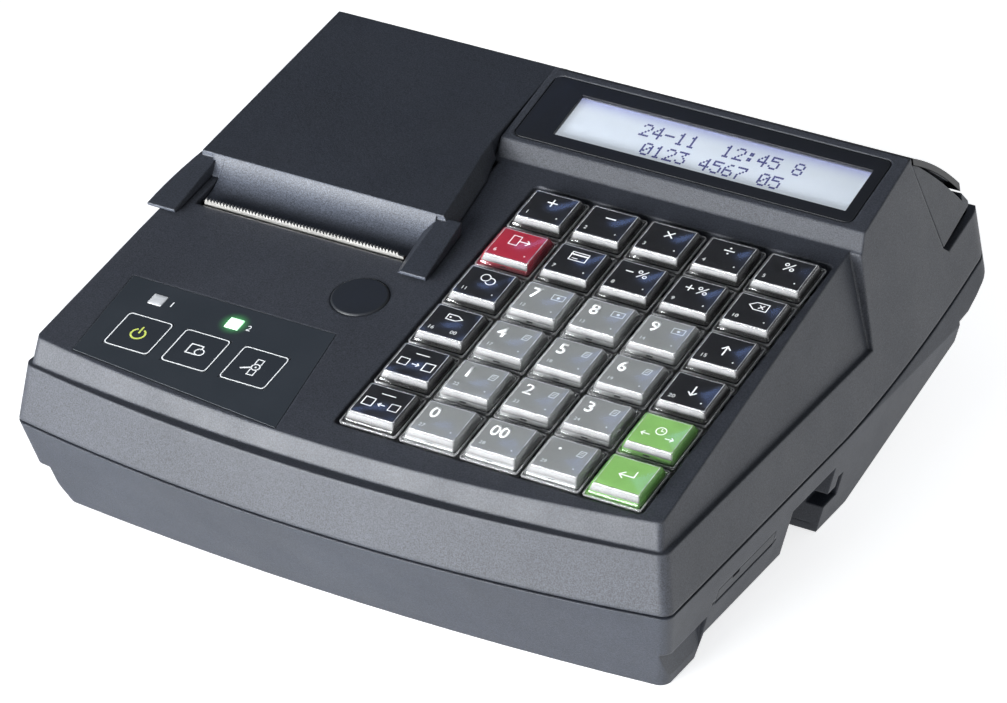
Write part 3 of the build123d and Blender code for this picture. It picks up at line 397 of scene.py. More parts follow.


# painted light: a bright band on the front walls of the carriers, as if lit from the front
M["milk"] = painted_light_band("carrier_milky", [(0.40, 0.045), (0.50, 0.100), (0.70, 0.140), (0.80, 0.115), (0.86, 0.070)])
# painted highlight: a pale line round the flange of each cap
M["lip"] = painted_light_band("flange_milky", [(0.0, 0.14), (0.12, 0.28), (0.25, 0.26)])
# painted reflection: the black carrier's side walls get a paler band high up, as the clear cap's sides show light there
SIDE["black"] = painted_light_band("carrier_black_side_painted_sheen", [(0.25, 0.012), (0.45, 0.018), (0.62, 0.050), (0.80, 0.085), (0.87, 0.060)])
# painted highlight: a pale ring round the printed top of each key
m = Mat("cap_rim_painted_highlight")
g = m.noise(500, 3.0, 0.6)
m.to(Base_Color=m.ramp(g, [(0.35, (0.20, 0.205, 0.215)), (0.62, (0.52, 0.53, 0.55))]), Roughness=m.span(g, 0.2, 0.8, 0.3, 0.5))
M["rim"] = m.m
m = Mat("notch_dark")
g = m.noise(700, 3.0, 0.6)
m.to(Base_Color=m.ramp(g, [(0.3, (0.004, 0.004, 0.005)), (0.7, (0.012, 0.012, 0.014))]), Roughness=m.span(g, 0.2, 0.8, 0.5, 0.7))
M["notch"] = m.m


def clear(name, rough=0.03, tint=(1, 1, 1), ior=1.49, through=0.94, ripple=0.00002):
    """Clear moulded plastic that lets lamps through."""
    m = Mat(name)
    m.set(Base_Color=(*tint, 1), Transmission_Weight=1.0, IOR=ior)
    smudge = m.noise(140, 3.0, 0.5)
    m.to(Roughness=m.span(smudge, 0.3, 0.7, rough * 0.8, rough * 1.25))
    if ripple:
        m.to(Normal=m.bump(m.noise(380, 2.0), ripple, 0.25))
    lp = m.add("ShaderNodeLightPath")
    tr = m.add("ShaderNodeBsdfTransparent")
    tr.inputs[0].default_value = (through * tint[0], through * tint[1], through * tint[2], 1)
    mx = m.add("ShaderNodeMixShader")
    m.link(lp.outputs["Is Shadow Ray"], mx.inputs[0])
    m.link(m.p.outputs[0], mx.inputs[1])
    m.link(tr.outputs[0], mx.inputs[2])
    m.link(mx.outputs[0], m.out.inputs["Surface"])
    return m.m


M["cap"] = clear("cap_clear", rough=0.13, ripple=0)
M["pane"] = clear("pane_clear", rough=0.02, ior=1.45, through=0.9, ripple=0.000002)

# smoked customer window
m = Mat("smoked_window")
sm = m.noise(500, 4.0, 0.6)
base = m.ramp(m.noise(30, 2.0), [(0.3, (0.003, 0.003, 0.004)), (0.7, (0.006, 0.006, 0.008))])
round_n, edge = m.edges(0.0003)
m.set(Specular_IOR_Level=0.2, Coat_Weight=0.12, Coat_Roughness=0.05)
m.to(Base_Color=base, Roughness=m.span(sm, 0.3, 0.8, 0.10, 0.22), Normal=m.bump(sm, 0.00001, 0.3, round_n))
M["smoked"] = m.m


def paint(node, key):
    o = NODES[node]
    o.data.materials.clear()
    o.data.materials.append(M[key])


PAINT = {"upper_shell": "shell", "lower_shell": "base", "printer_cover": "cover", "rear_display_frame": "pod", "customer_window": "smoked",
         "tear_bar": "blade", "membrane_overlay": "film", "power_key": "zone", "feed_key": "zone", "function_key": "zone",
         "seal_plug": "plug", "rubber_feet": "pad", "case_screws": "screw", "main_board": "board", "keyboard_board": "board", "dome_mat": "dome",
         "print_mechanism": "chassis", "print_head": "alu", "platen_roller": "platen", "motor_pinion": "brass", "paper_bucket": "bucket",
         "paper_roll": "paper", "battery_pack": "wrap", "battery_door": "door", "card_cover": "door", "port_block": "port",
         "display_module": "board", "customer_module": "board"}
for node, key in PAINT.items():
    paint(node, key)


# ------------------------------------------------------------------ mesh helpers (millimetres in, metres out)
def ring(w, d, r, h, ox=0.0, oy=0.0, seg=5, side=0):
    """Rounded rectangle at height h, anticlockwise from the right side, with extra points along its straight sides."""
    corners = []
    for cx, cy, a0 in ((1, 1, 0), (-1, 1, 90), (-1, -1, 180), (1, -1, 270)):
        row = []
        for i in range(seg + 1):
            a = math.radians(a0 + 90.0 * i / seg)
            row.append(((cx * (w / 2 - r) + r * math.cos(a) + ox) * MM, (cy * (d / 2 - r) + r * math.sin(a) + oy) * MM, h * MM))
        corners.append(row)
    pts = []
    for q, row in enumerate(corners):
        pts += row
        a, b = row[-1], corners[(q + 1) % 4][0]
        for i in range(side):
            t = (i + 1) / (side + 1)
            pts.append(tuple(a[j] + (b[j] - a[j]) * t for j in range(3)))
    return pts


def lathe(rings, cap_first=False, cap_last=False, loop=False):
    """Mesh through equal rings, as a bmesh."""
    bm = bmesh.new()
    rows = [[bm.verts.new(p) for p in r] for r in rings]
    n = len(rows[0])
    pairs = list(zip(rows, rows[1:])) + ([(rows[-1], rows[0])] if loop else [])
    for a, b in pairs:
        for i in range(n):
            j = (i + 1) % n
            bm.faces.new((a[i], a[j], b[j], b[i]))
    if cap_first:
        bm.faces.new(list(reversed(rows[0])))
    if cap_last:
        bm.faces.new(rows[-1])
    return bm


def finish_mesh(bm, name, smooth=40.0):
    me = bpy.data.meshes.new(name)
    bm.normal_update()
    bm.to_mesh(me)
    bm.free()
    for p in me.polygons:
        p.use_smooth = True
    me.set_sharp_from_angle(angle=math.radians(smooth))
    return me


def place(name, me, matrix, body, material=None):
    o = bpy.data.objects.new(name, me)
    scene.collection.objects.link(o)
    o.matrix_world = matrix
    if material is not None and not me.materials:
        me.materials.append(material)
    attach(o, body)
    return o


# ------------------------------------------------------------------ drawing on a surface
class Ink:
    """Flat print made of strokes, shapes and digits, in millimetres on a local plane."""

    def __init__(self, thick=0.02):
        self.bm = bmesh.new()
        self.h = 0.0
        self.thick = thick

    def poly(self, pts):
        vs = [self.bm.verts.new((x * MM, y * MM, self.h * MM)) for x, y in pts]
        self.bm.faces.new(vs)
        self.h += 0.0006

    def stroke(self, pts, w=0.3, closed=False):
        """Mitred ribbon along a line."""
        P = [Vector(p) for p in pts]
        n = len(P)
        lo, hi = [], []
        for i in range(n):
            if closed:
                a, b = (P[i] - P[i - 1]).normalized(), (P[(i + 1) % n] - P[i]).normalized()
            else:
                a = (P[i] - P[i - 1]).normalized() if i else (P[1] - P[0]).normalized()
                b = (P[i + 1] - P[i]).normalized() if i < n - 1 else a
            na, nb = Vector((-a.y, a.x)), Vector((-b.y, b.x))
            k = (na + nb)
            k = k.normalized() / max(0.45, k.normalized().dot(na)) if k.length > 1e-6 else na
            e = Vector((0, 0))
            if not closed and i in (0, n - 1):
                e = (-a if i == 0 else a) * (w / 2)
            hi.append(P[i] + e + k * w / 2)
            lo.append(P[i] + e - k * w / 2)
        vh = [self.bm.verts.new((v.x * MM, v.y * MM, self.h * MM)) for v in hi]
        vl = [self.bm.verts.new((v.x * MM, v.y * MM, self.h * MM)) for v in lo]
        for i in range(n if closed else n - 1):
            j = (i + 1) % n
            self.bm.faces.new((vl[i], vl[j], vh[j], vh[i]))
        self.h += 0.0006

    def arc(self, cx, cy, r, a0, a1, w=0.3, seg=24):
        pts = [(cx + r * math.cos(math.radians(a0 + (a1 - a0) * i / seg)), cy + r * math.sin(math.radians(a0 + (a1 - a0) * i / seg))) for i in range(seg + 1)]
        if abs(a1 - a0) >= 359:
            self.stroke(pts[:-1], w, True)
        else:
            self.stroke(pts, w)

    def disc(self, cx, cy, r, seg=16):
        self.poly([(cx + r * math.cos(2 * math.pi * i / seg), cy + r * math.sin(2 * math.pi * i / seg)) for i in range(seg)])

    def box(self, x0, y0, x1, y1, w=0.3):
        self.stroke([(x0, y0), (x1, y0), (x1, y1), (x0, y1)], w, True)

    def dashes(self, x0, y0, x1, y1, w=0.28, n=4):
        for ax, ay, bx, by in ((x0, y0, x1, y0), (x1, y0, x1, y1), (x1, y1, x0, y1), (x0, y1, x0, y0)):
            for i in range(n):
                t0, t1 = (i + 0.1) / n, (i + 0.55) / n
                self.stroke([(ax + (bx - ax) * t0, ay + (by - ay) * t0), (ax + (bx - ax) * t1, ay + (by - ay) * t1)], w)

    def arrow(self, x, y, dx, dy, size=1.0, w=0.32):
        """Arrow centred at x, y, pointing along dx, dy."""
        d = Vector((dx, dy)).normalized()
        s = Vector((-d.y, d.x))
        tip = Vector((x, y)) + d * size
        tail = Vector((x, y)) - d * size
        self.stroke([tuple(tail), tuple(tip - d * w * 0.5)], w)
        q = 0.62 * size
        self.stroke([tuple(tip - d * q + s * q), tuple(tip), tuple(tip - d * q - s * q)], w)

    def text(self, body, x, y, size, wide=1.0, align="LEFT", bold=0.0):
        """Digits or signs from the built-in face. x, y is the foot of the first."""
        cu = bpy.data.curves.new("t", "FONT")
        cu.body, cu.size, cu.align_x = body, size * MM, align
        cu.resolution_u = 3
        cu.offset = bold * MM
        ob = bpy.data.objects.new("t", cu)
        scene.collection.objects.link(ob)
        bpy.context.view_layer.update()
        me = bpy.data.meshes.new_from_object(ob.evaluated_get(bpy.context.evaluated_depsgraph_get()))
        me.transform(Matrix.Translation((x * MM, y * MM, self.h * MM)) @ Matrix.Diagonal((wide, 1, 1, 1)))
        self.bm.from_mesh(me)
        self.h += 0.0006
        bpy.data.meshes.remove(me)
        bpy.data.objects.remove(ob)
        bpy.data.curves.remove(cu)

    def done(self, name):
        bmesh.ops.remove_doubles(self.bm, verts=self.bm.verts, dist=1e-8)
        ex = bmesh.ops.extrude_face_region(self.bm, geom=list(self.bm.faces))
        bmesh.ops.translate(self.bm, verts=[g for g in ex["geom"] if isinstance(g, bmesh.types.BMVert)], vec=(0, 0, self.thick * MM))
        bmesh.ops.recalc_face_normals(self.bm, faces=list(self.bm.faces))
        me = bpy.data.meshes.new(name)
        self.bm.to_mesh(me)
        self.bm.free()
        return me


# ------------------------------------------------------------------ keys
PITCH = 17.4


def lean(h):
    """Sideways shift of the cap at height h."""
    k = max(0.0, min(1.0, h / 3.0))
    return 0.55 * k, -0.3 * k


def taper(h, w0=15.2, d0=14.8, w1=13.6, d1=12.0):
    k = h / 3.0
    return w0 + (w1 - w0) * k, d0 + (d1 - d0) * k


DISH = 0.38
FINE = 6            # points along each side of the cap


def cap_rings():
    out = []
    for w, r, h in ((16.2, 0.9, -0.98), (16.5, 1.0, -0.86), (16.54, 1.0, -0.5), (16.5, 1.0, -0.20), (16.38, 0.95, -0.07), (16.1, 0.85, -0.02)):
        out.append(ring(w, w, r, h, side=FINE))
    w, d = taper(0.0)
    out.append(ring(w + 0.5, d + 0.5, 1.1, 0.0, side=FINE))
    out.append(ring(w + 0.12, d + 0.12, 0.95, 0.10, *lean(0.1), side=FINE))
    for h in (0.35, 1.2, 2.0, 2.5):
        w, d = taper(h)
        out.append(ring(w, d, 0.9, h, *lean(h), side=FINE))
    w, d = taper(2.74)
    out.append(ring(w - 0.08, d - 0.08, 0.88, 2.74, *lean(2.7), side=FINE))
    out.append(ring(w - 0.26, d - 0.26, 0.82, 2.90, *lean(2.9), side=FINE))
    out.append(ring(w - 0.50, d - 0.50, 0.72, 2.975, *lean(3), side=FINE))
    # shallow dish, the same smooth surface whatever the ring
    w, d = 13.6 - 0.86, 12.0 - 0.86
    rim = ring(w, d, 0.62, 0.0, side=FINE)
    a, b = w / 2 * MM, d / 2 * MM
    ox, oy = lean(3)
    for k in (1.0, 0.95, 0.88, 0.80, 0.71, 0.61, 0.50, 0.39, 0.28, 0.17, 0.06):
        row = []
        for x, y, z in rim:
            x, y = x * k, y * k
            row.append((x + ox * MM, y + oy * MM, (2.99 - DISH * (1 - (x / a) ** 2) * (1 - (y / b) ** 2)) * MM))
        out.append(row)
    return out


bm = lathe(cap_rings(), cap_first=True, cap_last=True)
bmesh.ops.recalc_face_normals(bm, faces=list(bm.faces))
cap_mesh = finish_mesh(bm, "key_cap", 50)
cap_mesh.materials.append(M["cap"])

LAY = 2.46          # height of the printed insert


def carrier_mesh(colour):
    """Coloured carrier inside the cap: printed top, a painted band of light on the front, toned sides, with a painted
    sheen on the black ones.
    """
    rings = [ring(13.7, 13.3, 0.5, -0.93), ring(13.7, 13.3, 0.5, 0.0)]
    for h in (0.7, 1.5, 2.1, 2.4):
        w, d = taper(h)
        rings.append(ring(w - 1.1, d - 1.0, 0.45, h, *lean(h)))
    w, d = taper(LAY)
    rings.append(ring(w - 1.14, d - 1.04, 0.42, LAY - 0.03, *lean(LAY)))
    rings.append(ring(w - 1.20, d - 1.10, 0.38, LAY, *lean(LAY)))
    bm = lathe(rings, cap_first=True, cap_last=True)
    bmesh.ops.recalc_face_normals(bm, faces=list(bm.faces))
    bm.normal_update()
    for f in bm.faces:
        c = f.calc_center_median() / MM
        if f.normal.z > 0.6:
            f.material_index = 0
        elif f.normal.y < -0.6 and c.z > 0.65:
            f.material_index = 2
        else:
            f.material_index = 1
    me = finish_mesh(bm, "carrier_" + colour, 35)
    for mm in (CARD[colour], SIDE[colour], M["milk"]):
        me.materials.append(mm)
    return me


CARRIERS = {c: carrier_mesh(c) for c in CARD}


def trim_mesh():
    """Painted highlight round the printed top, a painted highlight line in the flange, and the gate mark at the foot of
    the front wall.
    """
    bm = bmesh.new()
    w, d = taper(LAY)
    ox, oy = lean(LAY)
    top = [ring(w - 1.20, d - 1.10, 0.38, LAY + 0.004, ox, oy), ring(w - 1.20, d - 1.10, 0.38, LAY + 0.03, ox, oy),
           ring(w - 1.52, d - 1.42, 0.24, LAY + 0.03, ox, oy), ring(w - 1.52, d - 1.42, 0.24, LAY + 0.004, ox, oy)]
    lip = [ring(16.2, 16.2, 0.75, -0.80), ring(16.2, 16.2, 0.75, -0.26), ring(15.7, 15.7, 0.55, -0.26), ring(15.7, 15.7, 0.55, -0.80)]
    for k, rows in enumerate((top, lip)):
        part = lathe(rows, loop=True)
        for f in part.faces:
            f.material_index = k
        me = bpy.data.meshes.new("t")
        part.to_mesh(me)
        part.free()
        bm.from_mesh(me)
        bpy.data.meshes.remove(me)
    x0, x1, y0, y1, z0, z1 = -0.9, 0.9, -6.98, -6.80, 0.08, 0.46
    v = [bm.verts.new((x * MM, y * MM, z * MM)) for x in (x0, x1) for y in (y0, y1) for z in (z0, z1)]
    for q in ((0, 1, 3, 2), (4, 6, 7, 5), (0, 4, 5, 1), (2, 3, 7, 6), (0, 2, 6, 4), (1, 5, 7, 3)):
        bm.faces.new([v[i] for i in q]).material_index = 2
    bmesh.ops.recalc_face_normals(bm, faces=list(bm.faces))
    me = finish_mesh(bm, "key_trim", 30)
    for mm in (M["rim"], M["lip"], M["notch"]):
        me.materials.append(mm)
    return me


TRIM = trim_mesh()


def colour_of(r, c):
    if (r, c) == (2, 1):
        return "red"
    if r in (5, 6) and c == 5:
        return "green"
    if r >= 3 and 2 <= c <= 4:
        return "grey"
    return "black"


DIGITS = {(3, 2): "7", (3, 3): "8", (3, 4): "9", (4, 2): "4", (4, 3): "5", (4, 4): "6", (5, 2): "1", (5, 3): "2", (5, 4): "3",
          (6, 2): "0", (6, 3): "00"}


def slip(k, x, y, w=0.2):
    """Small leaning slip of paper."""
    k.stroke([(x - 0.9, y - 1.0), (x + 0.7, y - 1.0), (x + 1.1, y + 1.0), (x - 0.5, y + 1.0)], w, True)
    k.stroke([(x - 0.2, y + 0.4), (x + 0.5, y + 0.4)], w * 0.8)
    k.stroke([(x - 0.35, y - 0.2), (x + 0.35, y - 0.2)], w * 0.8)


def legend(r, c):
    """Generic marks of a key, about the middle of its printed top: 12.4 wide, 10.6 deep."""
    k = Ink()
    col = colour_of(r, c)
    n = (r - 1) * 5 + c
    if (r, c) in DIGITS:
        k.text(DIGITS[(r, c)], -4.6, 0.35, 5.6, 0.92, bold=0.12)
        pale = Ink()
        if r < 6:
            if r == 3:
                pale.box(1.6, 1.4, 5.0, 3.4, 0.2)
                pale.disc(3.3, 2.4, 0.45)
            else:
                slip(pale, 3.4, 2.4)
        pale.text("%d" % n, -5.0, -3.9, 1.7)
        pale.disc(4.2, -3.4, 0.22)
        return k, pale
    if (r, c) == (6, 4):
        k.disc(-2.6, 2.4, 0.42)
        pale = Ink()
        slip(pale, 3.4, 2.4)
        pale.text("%d" % n, -5.0, -3.9, 1.7)
        pale.disc(4.2, -3.4, 0.22)
        return k, pale
    if r == 1:
        if c == 1:
            k.stroke([(-1.3, 2.4), (1.3, 2.4)], 0.42); k.stroke([(0, 1.1), (0, 3.7)], 0.42)
        elif c == 2:
            k.stroke([(-1.3, 2.4), (1.3, 2.4)], 0.42)
        elif c == 3:
            k.stroke([(-1.0, 1.4), (1.0, 3.4)], 0.42); k.stroke([(-1.0, 3.4), (1.0, 1.4)], 0.42)
        elif c == 4:
            k.stroke([(-1.3, 2.4), (1.3, 2.4)], 0.42); k.disc(0, 3.5, 0.3); k.disc(0, 1.3, 0.3)
        else:
            k.stroke([(-1.1, 1.1), (1.1, 3.7)], 0.36); k.arc(-0.95, 3.2, 0.5, 0, 360, 0.3, 14); k.arc(0.95, 1.6, 0.5, 0, 360, 0.3, 14)
        k.text("%d" % n, -5.0, -3.9, 1.9)
        k.disc(4.2, -3.3, 0.24)
    elif r == 2:
        if c == 1:
            k.box(-2.6, 0.2, -0.2, 3.8, 0.26); k.arrow(1.5, 2.0, 1, 0, 1.4, 0.32)
        elif c == 2:
            k.box(-2.4, 0.6, 2.4, 3.8, 0.28); k.stroke([(-2.4, 2.9), (2.4, 2.9)], 0.5); k.stroke([(-1.6, 1.4), (-0.2, 1.4)], 0.25)
        elif c == 3:
            k.stroke([(-3.4, 2.2), (-1.6, 2.2)], 0.38)
            k.stroke([(0.2, 0.9), (2.4, 3.5)], 0.34); k.arc(0.4, 3.0, 0.5, 0, 360, 0.28, 14); k.arc(2.2, 1.4, 0.5, 0, 360, 0.28, 14)
        elif c == 4:
            k.stroke([(-3.4, 2.2), (-1.4, 2.2)], 0.38); k.stroke([(-2.4, 1.2), (-2.4, 3.2)], 0.38)
            k.stroke([(0.2, 0.9), (2.4, 3.5)], 0.34); k.arc(0.4, 3.0, 0.5, 0, 360, 0.28, 14); k.arc(2.2, 1.4, 0.5, 0, 360, 0.28, 14)
        else:
            k.stroke([(-2.6, 2.2), (-1.0, 3.6), (2.6, 3.6), (2.6, 0.8), (-1.0, 0.8)], 0.28, True)
            k.stroke([(0.2, 1.6), (1.4, 2.8)], 0.28); k.stroke([(0.2, 2.8), (1.4, 1.6)], 0.28)
        k.text("%d" % n, -5.0, -3.9, 1.9)
        k.disc(4.2, -3.3, 0.24)
    elif c == 1 and r == 3:
        k.arc(-0.8, 2.6, 1.3, 0, 360, 0.28, 20); k.arc(1.0, 1.6, 1.3, -150, 110, 0.28, 18)
        k.text("%d" % n, -5.0, -3.9, 1.9); k.disc(4.2, -3.3, 0.24)
    elif c == 1 and r == 4:
        k.stroke([(-2.2, 1.2), (-2.2, 3.2), (0.6, 3.2), (2.2, 2.2), (0.6, 1.2)], 0.28, True); k.disc(-1.3, 2.2, 0.3)
        k.text("%d" % n, -5.0, -3.9, 1.9); k.text("00", 1.6, -3.9, 1.9)
    elif c == 5 and r in (3, 4):
        k.arrow(0.2, 0.4, 0, 1 if r == 3 else -1, 1.7, 0.42)
        k.text("%d" % n, -5.0, -3.9, 1.9); k.disc(4.2, -3.3, 0.24)
    elif c == 1 and r == 5:
        k.dashes(-4.9, -2.0, -2.3, 0.6); k.arrow(0.0, -0.8, 1, 0, 0.9, 0.32); k.box(2.3, -2.2, 5.1, 0.8, 0.3)
        k.stroke([(-1.9, 3.2), (1.9, 3.2)], 0.26)
    elif c == 1 and r == 6:
        k.box(-5.1, -2.2, -2.3, 0.8, 0.3); k.arrow(0.0, -0.8, -1, 0, 0.9, 0.32); k.dashes(2.4, -2.0, 5.0, 0.6)
        k.stroke([(-1.9, 3.2), (1.9, 3.2)], 0.26)
    elif r == 5:
        k.arc(0.0, 0.8, 1.35, 0, 360, 0.3, 22); k.stroke([(0.0, 1.6), (0.0, 0.8), (0.7, 0.8)], 0.24)
        k.arrow(-3.4, -1.4, -1, 0, 1.1, 0.3); k.arrow(3.4, -1.4, 1, 0, 1.1, 0.3)
    else:
        k.stroke([(2.0, 1.9), (2.0, -0.2), (-1.9, -0.2)], 0.34)
        k.stroke([(-0.8, 0.9), (-2.0, -0.2), (-0.8, -1.3)], 0.34)
    return k, None


for r in range(1, 7):
    for c in range(1, 6):
        x, y = -8.3 + (c - 1) * PITCH, 8.3 - (r - 1) * PITCH
        tag = "r%dc%d" % (r, c)
        body = "k_" + tag
        col = colour_of(r, c)
        cap = place("cap_" + tag, cap_mesh, deck_matrix(x, y), body)
        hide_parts("key_" + tag)
        place("carrier_" + tag, CARRIERS[col], deck_matrix(x, y), body)
        place("trim_" + tag, TRIM, deck_matrix(x, y), body)
        k, pale = legend(r, c)
        place("legend_" + tag, k.done("legend_" + tag), deck_matrix(x + 0.45, y - 0.25, LAY + 0.006), body, M["ink_print"])
        if pale:
            place("marks_" + tag, pale.done("marks_" + tag), deck_matrix(x + 0.45, y - 0.25, LAY + 0.006), body, M["ink_pale"])

# ------------------------------------------------------------------ overlay print
ZONES = {"power_key": (-82.4, -77.3), "feed_key": (-64.9, -77.3), "function_key": (-47.2, -77.3)}
ZBODY = {n: BODY_OF[n] for n in ZONES}
for name, (zx, zy) in ZONES.items():
    k = Ink(0.012)
    pts = [(p[0] / MM, p[1] / MM) for p in ring(13.2, 13.2, 1.1, 0)]
    k.stroke(pts, 0.29, True)
    bm = lathe([ring(13.6, 13.6, 0.6, -0.3), ring(13.6, 13.6, 0.6, 0.13), ring(13.54, 13.54, 0.58, 0.152)], True, True)
    place(name + "_film", finish_mesh(bm, name + "_film", 30), deck_matrix(zx, zy), ZBODY[name], M["zone"])
    sym = Ink(0.012)
    if name == "power_key":
        sym.arc(0, -0.2, 1.95, 125, 415, 0.55, 30)
        sym.stroke([(0, 0.3), (0, 2.5)], 0.5)
    elif name == "feed_key":
        sym.stroke([(-2.2, -1.6), (-2.2, 2.0), (1.3, 2.0)], 0.36)
        sym.stroke([(-2.2, -1.6), (0.9, -1.6)], 0.36)
        sym.arc(1.3, -0.35, 1.25, -110, 250, 0.36, 22)
        sym.stroke([(1.3, 2.0), (1.3, 0.95)], 0.36)
    else:
        sym.arc(0.3, 0.2, 1.15, 0, 360, 0.36, 22)
        sym.disc(0.3, 0.2, 0.3)
        sym.stroke([(-0.6, 1.5), (-0.6, 3.2), (1.2, 3.2), (1.2, 1.5)], 0.32)
        sym.stroke([(-0.6, -1.1), (-0.6, -3.0), (1.2, -3.0), (1.2, -1.1)], 0.32)
        sym.stroke([(-1.2, -0.4), (-3.2, -1.4)], 0.5)
    place(name + "_outline", k.done(name + "_outline"), deck_matrix(zx, zy, 0.153), ZBODY[name], M["ink_white"])
    place(name + "_symbol", sym.done(name + "_symbol"), deck_matrix(zx, zy, 0.153), ZBODY[name],
          M["ink_green"] if name == "power_key" else M["ink_white"])
k = Ink(0.012)
k.text("1", -81.4, -64.6, 3.0)
k.text("2", -57.6, -65.1, 3.0)
place("overlay_numbers", k.done("overlay_numbers"), deck_matrix(0, 0, 0.051), BODY_OF["membrane_overlay"], M["ink_white"])

# lenses: one pale and unlit, with a faint painted glow, one lit green-white
m = Mat("lens_unlit")
g = m.noise(900, 3.0, 0.6)
m.to(Base_Color=m.ramp(g, [(0.3, (0.47, 0.48, 0.50)), (0.7, (0.53, 0.54, 0.56))]), Roughness=m.span(g, 0.2, 0.8, 0.25, 0.4))
# painted glow: a faint emission on the unlit lens
m.set(Emission_Color=(0.8, 0.85, 0.9, 1), Emission_Strength=0.06, Coat_Weight=0.3)
M["lens_off"] = m.m
m = Mat("lens_lit")
dist = m.add("ShaderNodeVectorMath", operation="LENGTH")
m.link(m.co, dist.inputs[0])
m.to(Emission_Color=m.mix(m.span(dist.outputs["Value"], 0.0009, 0.0026), (0.86, 1.0, 0.88), (0.30, 0.88, 0.40)),
     Roughness=m.span(m.noise(900, 3.0), 0.2, 0.8, 0.25, 0.4))
m.set(Base_Color=(0.7, 0.95, 0.75, 1), Emission_Strength=1.1)
M["lens_on"] = m.m
for tag, (lx, ly), key in (("lens_power", (-85.2, -63.4), "lens_off"), ("lens_status", (-61.4, -63.9), "lens_on")):
    bm = lathe([ring(4.1, 4.1, 0.3, -2.2), ring(4.1, 4.1, 0.3, 0.06), ring(4.0, 4.0, 0.28, 0.15), ring(3.8, 3.8, 0.25, 0.19), ring(1.5, 1.5, 0.1, 0.2)], True, True)
    o = place(tag, finish_mesh(bm, tag), deck_matrix(lx, ly), BODY_OF["indicator_lenses"], M[key])
    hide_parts("indicator_lenses")

# ------------------------------------------------------------------ operator display
FRAME_O = (100.4, 26.0, 2.0)
win = (32.6, 15.0)
hole = (35.95 - win[0], 14.475 - win[1])
rings = []
for w, d, r, h in ((100.3, 25.9, 1.95, -1.5), (100.4, 26.0, 2.0, -1.4), (100.4, 26.0, 2.0, -0.14), (100.2, 25.8, 1.9, -0.02), (99.9, 25.5, 1.75, 0.0)):
    rings.append(ring(w, d, r, h))
for w, d, r, h in ((87.08, 17.13, 0.25, 0.0), (86.9, 16.95, 0.2, -0.08), (86.9, 16.95, 0.2, -1.5)):
    rings.append(ring(w, d, r, h, *hole))
bm = lathe(rings, loop=True)
bmesh.ops.recalc_face_normals(bm, faces=list(bm.faces))
frame_o = place("window_surround", finish_mesh(bm, "window_surround", 30), disp_matrix(*win), BODY_OF["display_window"], M["bezel"])
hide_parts("display_window")
bm = lathe([ring(86.8, 16.85, 0.15, -1.35, *hole), ring(86.8, 16.85, 0.15, -0.95, *hole)], True, True)
pane = place("window_pane", finish_mesh(bm, "window_pane", 30), disp_matrix(*win), BODY_OF["display_window"], M["pane"])
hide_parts("display_window")

# lit panel: pale, with a violet shade along its top edge, and a fine cell pattern
m = Mat("lcd_panel")
sep = m.add("ShaderNodeSeparateXYZ")
m.link(m.co, sep.inputs[0])
top = m.span(sep.outputs["Y"], 0.0026, 0.0080)
top = m.math("MULTIPLY", top, top)
side = m.span(sep.outputs["X"], -0.043, -0.030, 1, 0)
tone = m.ramp(m.noise(55, 3.0, 0.5), [(0.3, (0.66, 0.73, 0.80)), (0.7, (0.71, 0.78, 0.85))])
tone = m.mix(top, tone, (0.38, 0.42, 0.72))
cells = m.add("ShaderNodeTexBrick", offset=0.0)
cells.inputs["Scale"].default_value = 1.0
cells.inputs["Brick Width"].default_value = 0.00352
cells.inputs["Row Height"].default_value = 0.0070
cells.inputs["Mortar Size"].default_value = 0.00028
m.link(m.co, cells.inputs["Vector"])
tone = m.mix(m.math("MULTIPLY", cells.outputs["Fac"], 0.04), tone, (0.55, 0.6, 0.75))
dim = m.mix(1.0, tone, (0.30, 0.30, 0.32), "MULTIPLY")
m.to(Base_Color=dim, Emission_Color=tone, Roughness=m.span(m.noise(400, 2.0), 0.2, 0.8, 0.35, 0.5))
m.set(Emission_Strength=0.605, Specular_IOR_Level=0.2)
M["lcd"] = m.m
bm = lathe([ring(86.4, 15.8, 0.2, -2.18), ring(86.4, 15.8, 0.2, -1.60), ring(86.3, 15.7, 0.2, -1.56)], True, True)
place("lcd_panel", finish_mesh(bm, "lcd_panel", 30), disp_matrix(35.45, 15.15), BODY_OF["display_module"], M["lcd"])

DOTS = {
    "0": "01110 10001 10011 10101 11001 10001 01110", "1": "00100 01100 00100 00100 00100 00100 01110", "2": "01110 10001 00001 00010 00100 01000 11111",
    "3": "11111 00010 00100 00010 00001 10001 01110", "4": "00010 00110 01010 10010 11111 00010 00010", "5": "11111 10000 11110 00001 00001 10001 01110",
    "6": "00110 01000 10000 11110 10001 10001 01110", "7": "11111 00001 00010 00100 01000 01000 01000", "8": "01110 10001 10001 01110 10001 10001 01110",
    "9": "01110 10001 10001 01111 00001 00010 01100", ":": "00000 01100 01100 00000 01100 01100 00000", ".": "00000 00000 00000 00000 00000 01100 01100",
    "-": "00000 00000 00000 11111 00000 00000 00000", "=": "00000 00000 11111 00000 11111 00000 00000", " ": "00000 " * 7, "x": "00000 00000 10001 01010 00100 01010 10001"}
m = Mat("lcd_dots")
g = m.noise(1200, 2.0)
m.to(Base_Color=m.ramp(g, [(0.3, srgb("1c1d40")), (0.7, srgb("25264c"))]), Roughness=m.span(g, 0.2, 0.8, 0.4, 0.5))
m.set(Emission_Color=(*srgb("3f4180"), 1), Emission_Strength=0.7, Specular_IOR_Level=0.2)
M["dots"] = m.m
bm = bmesh.new()
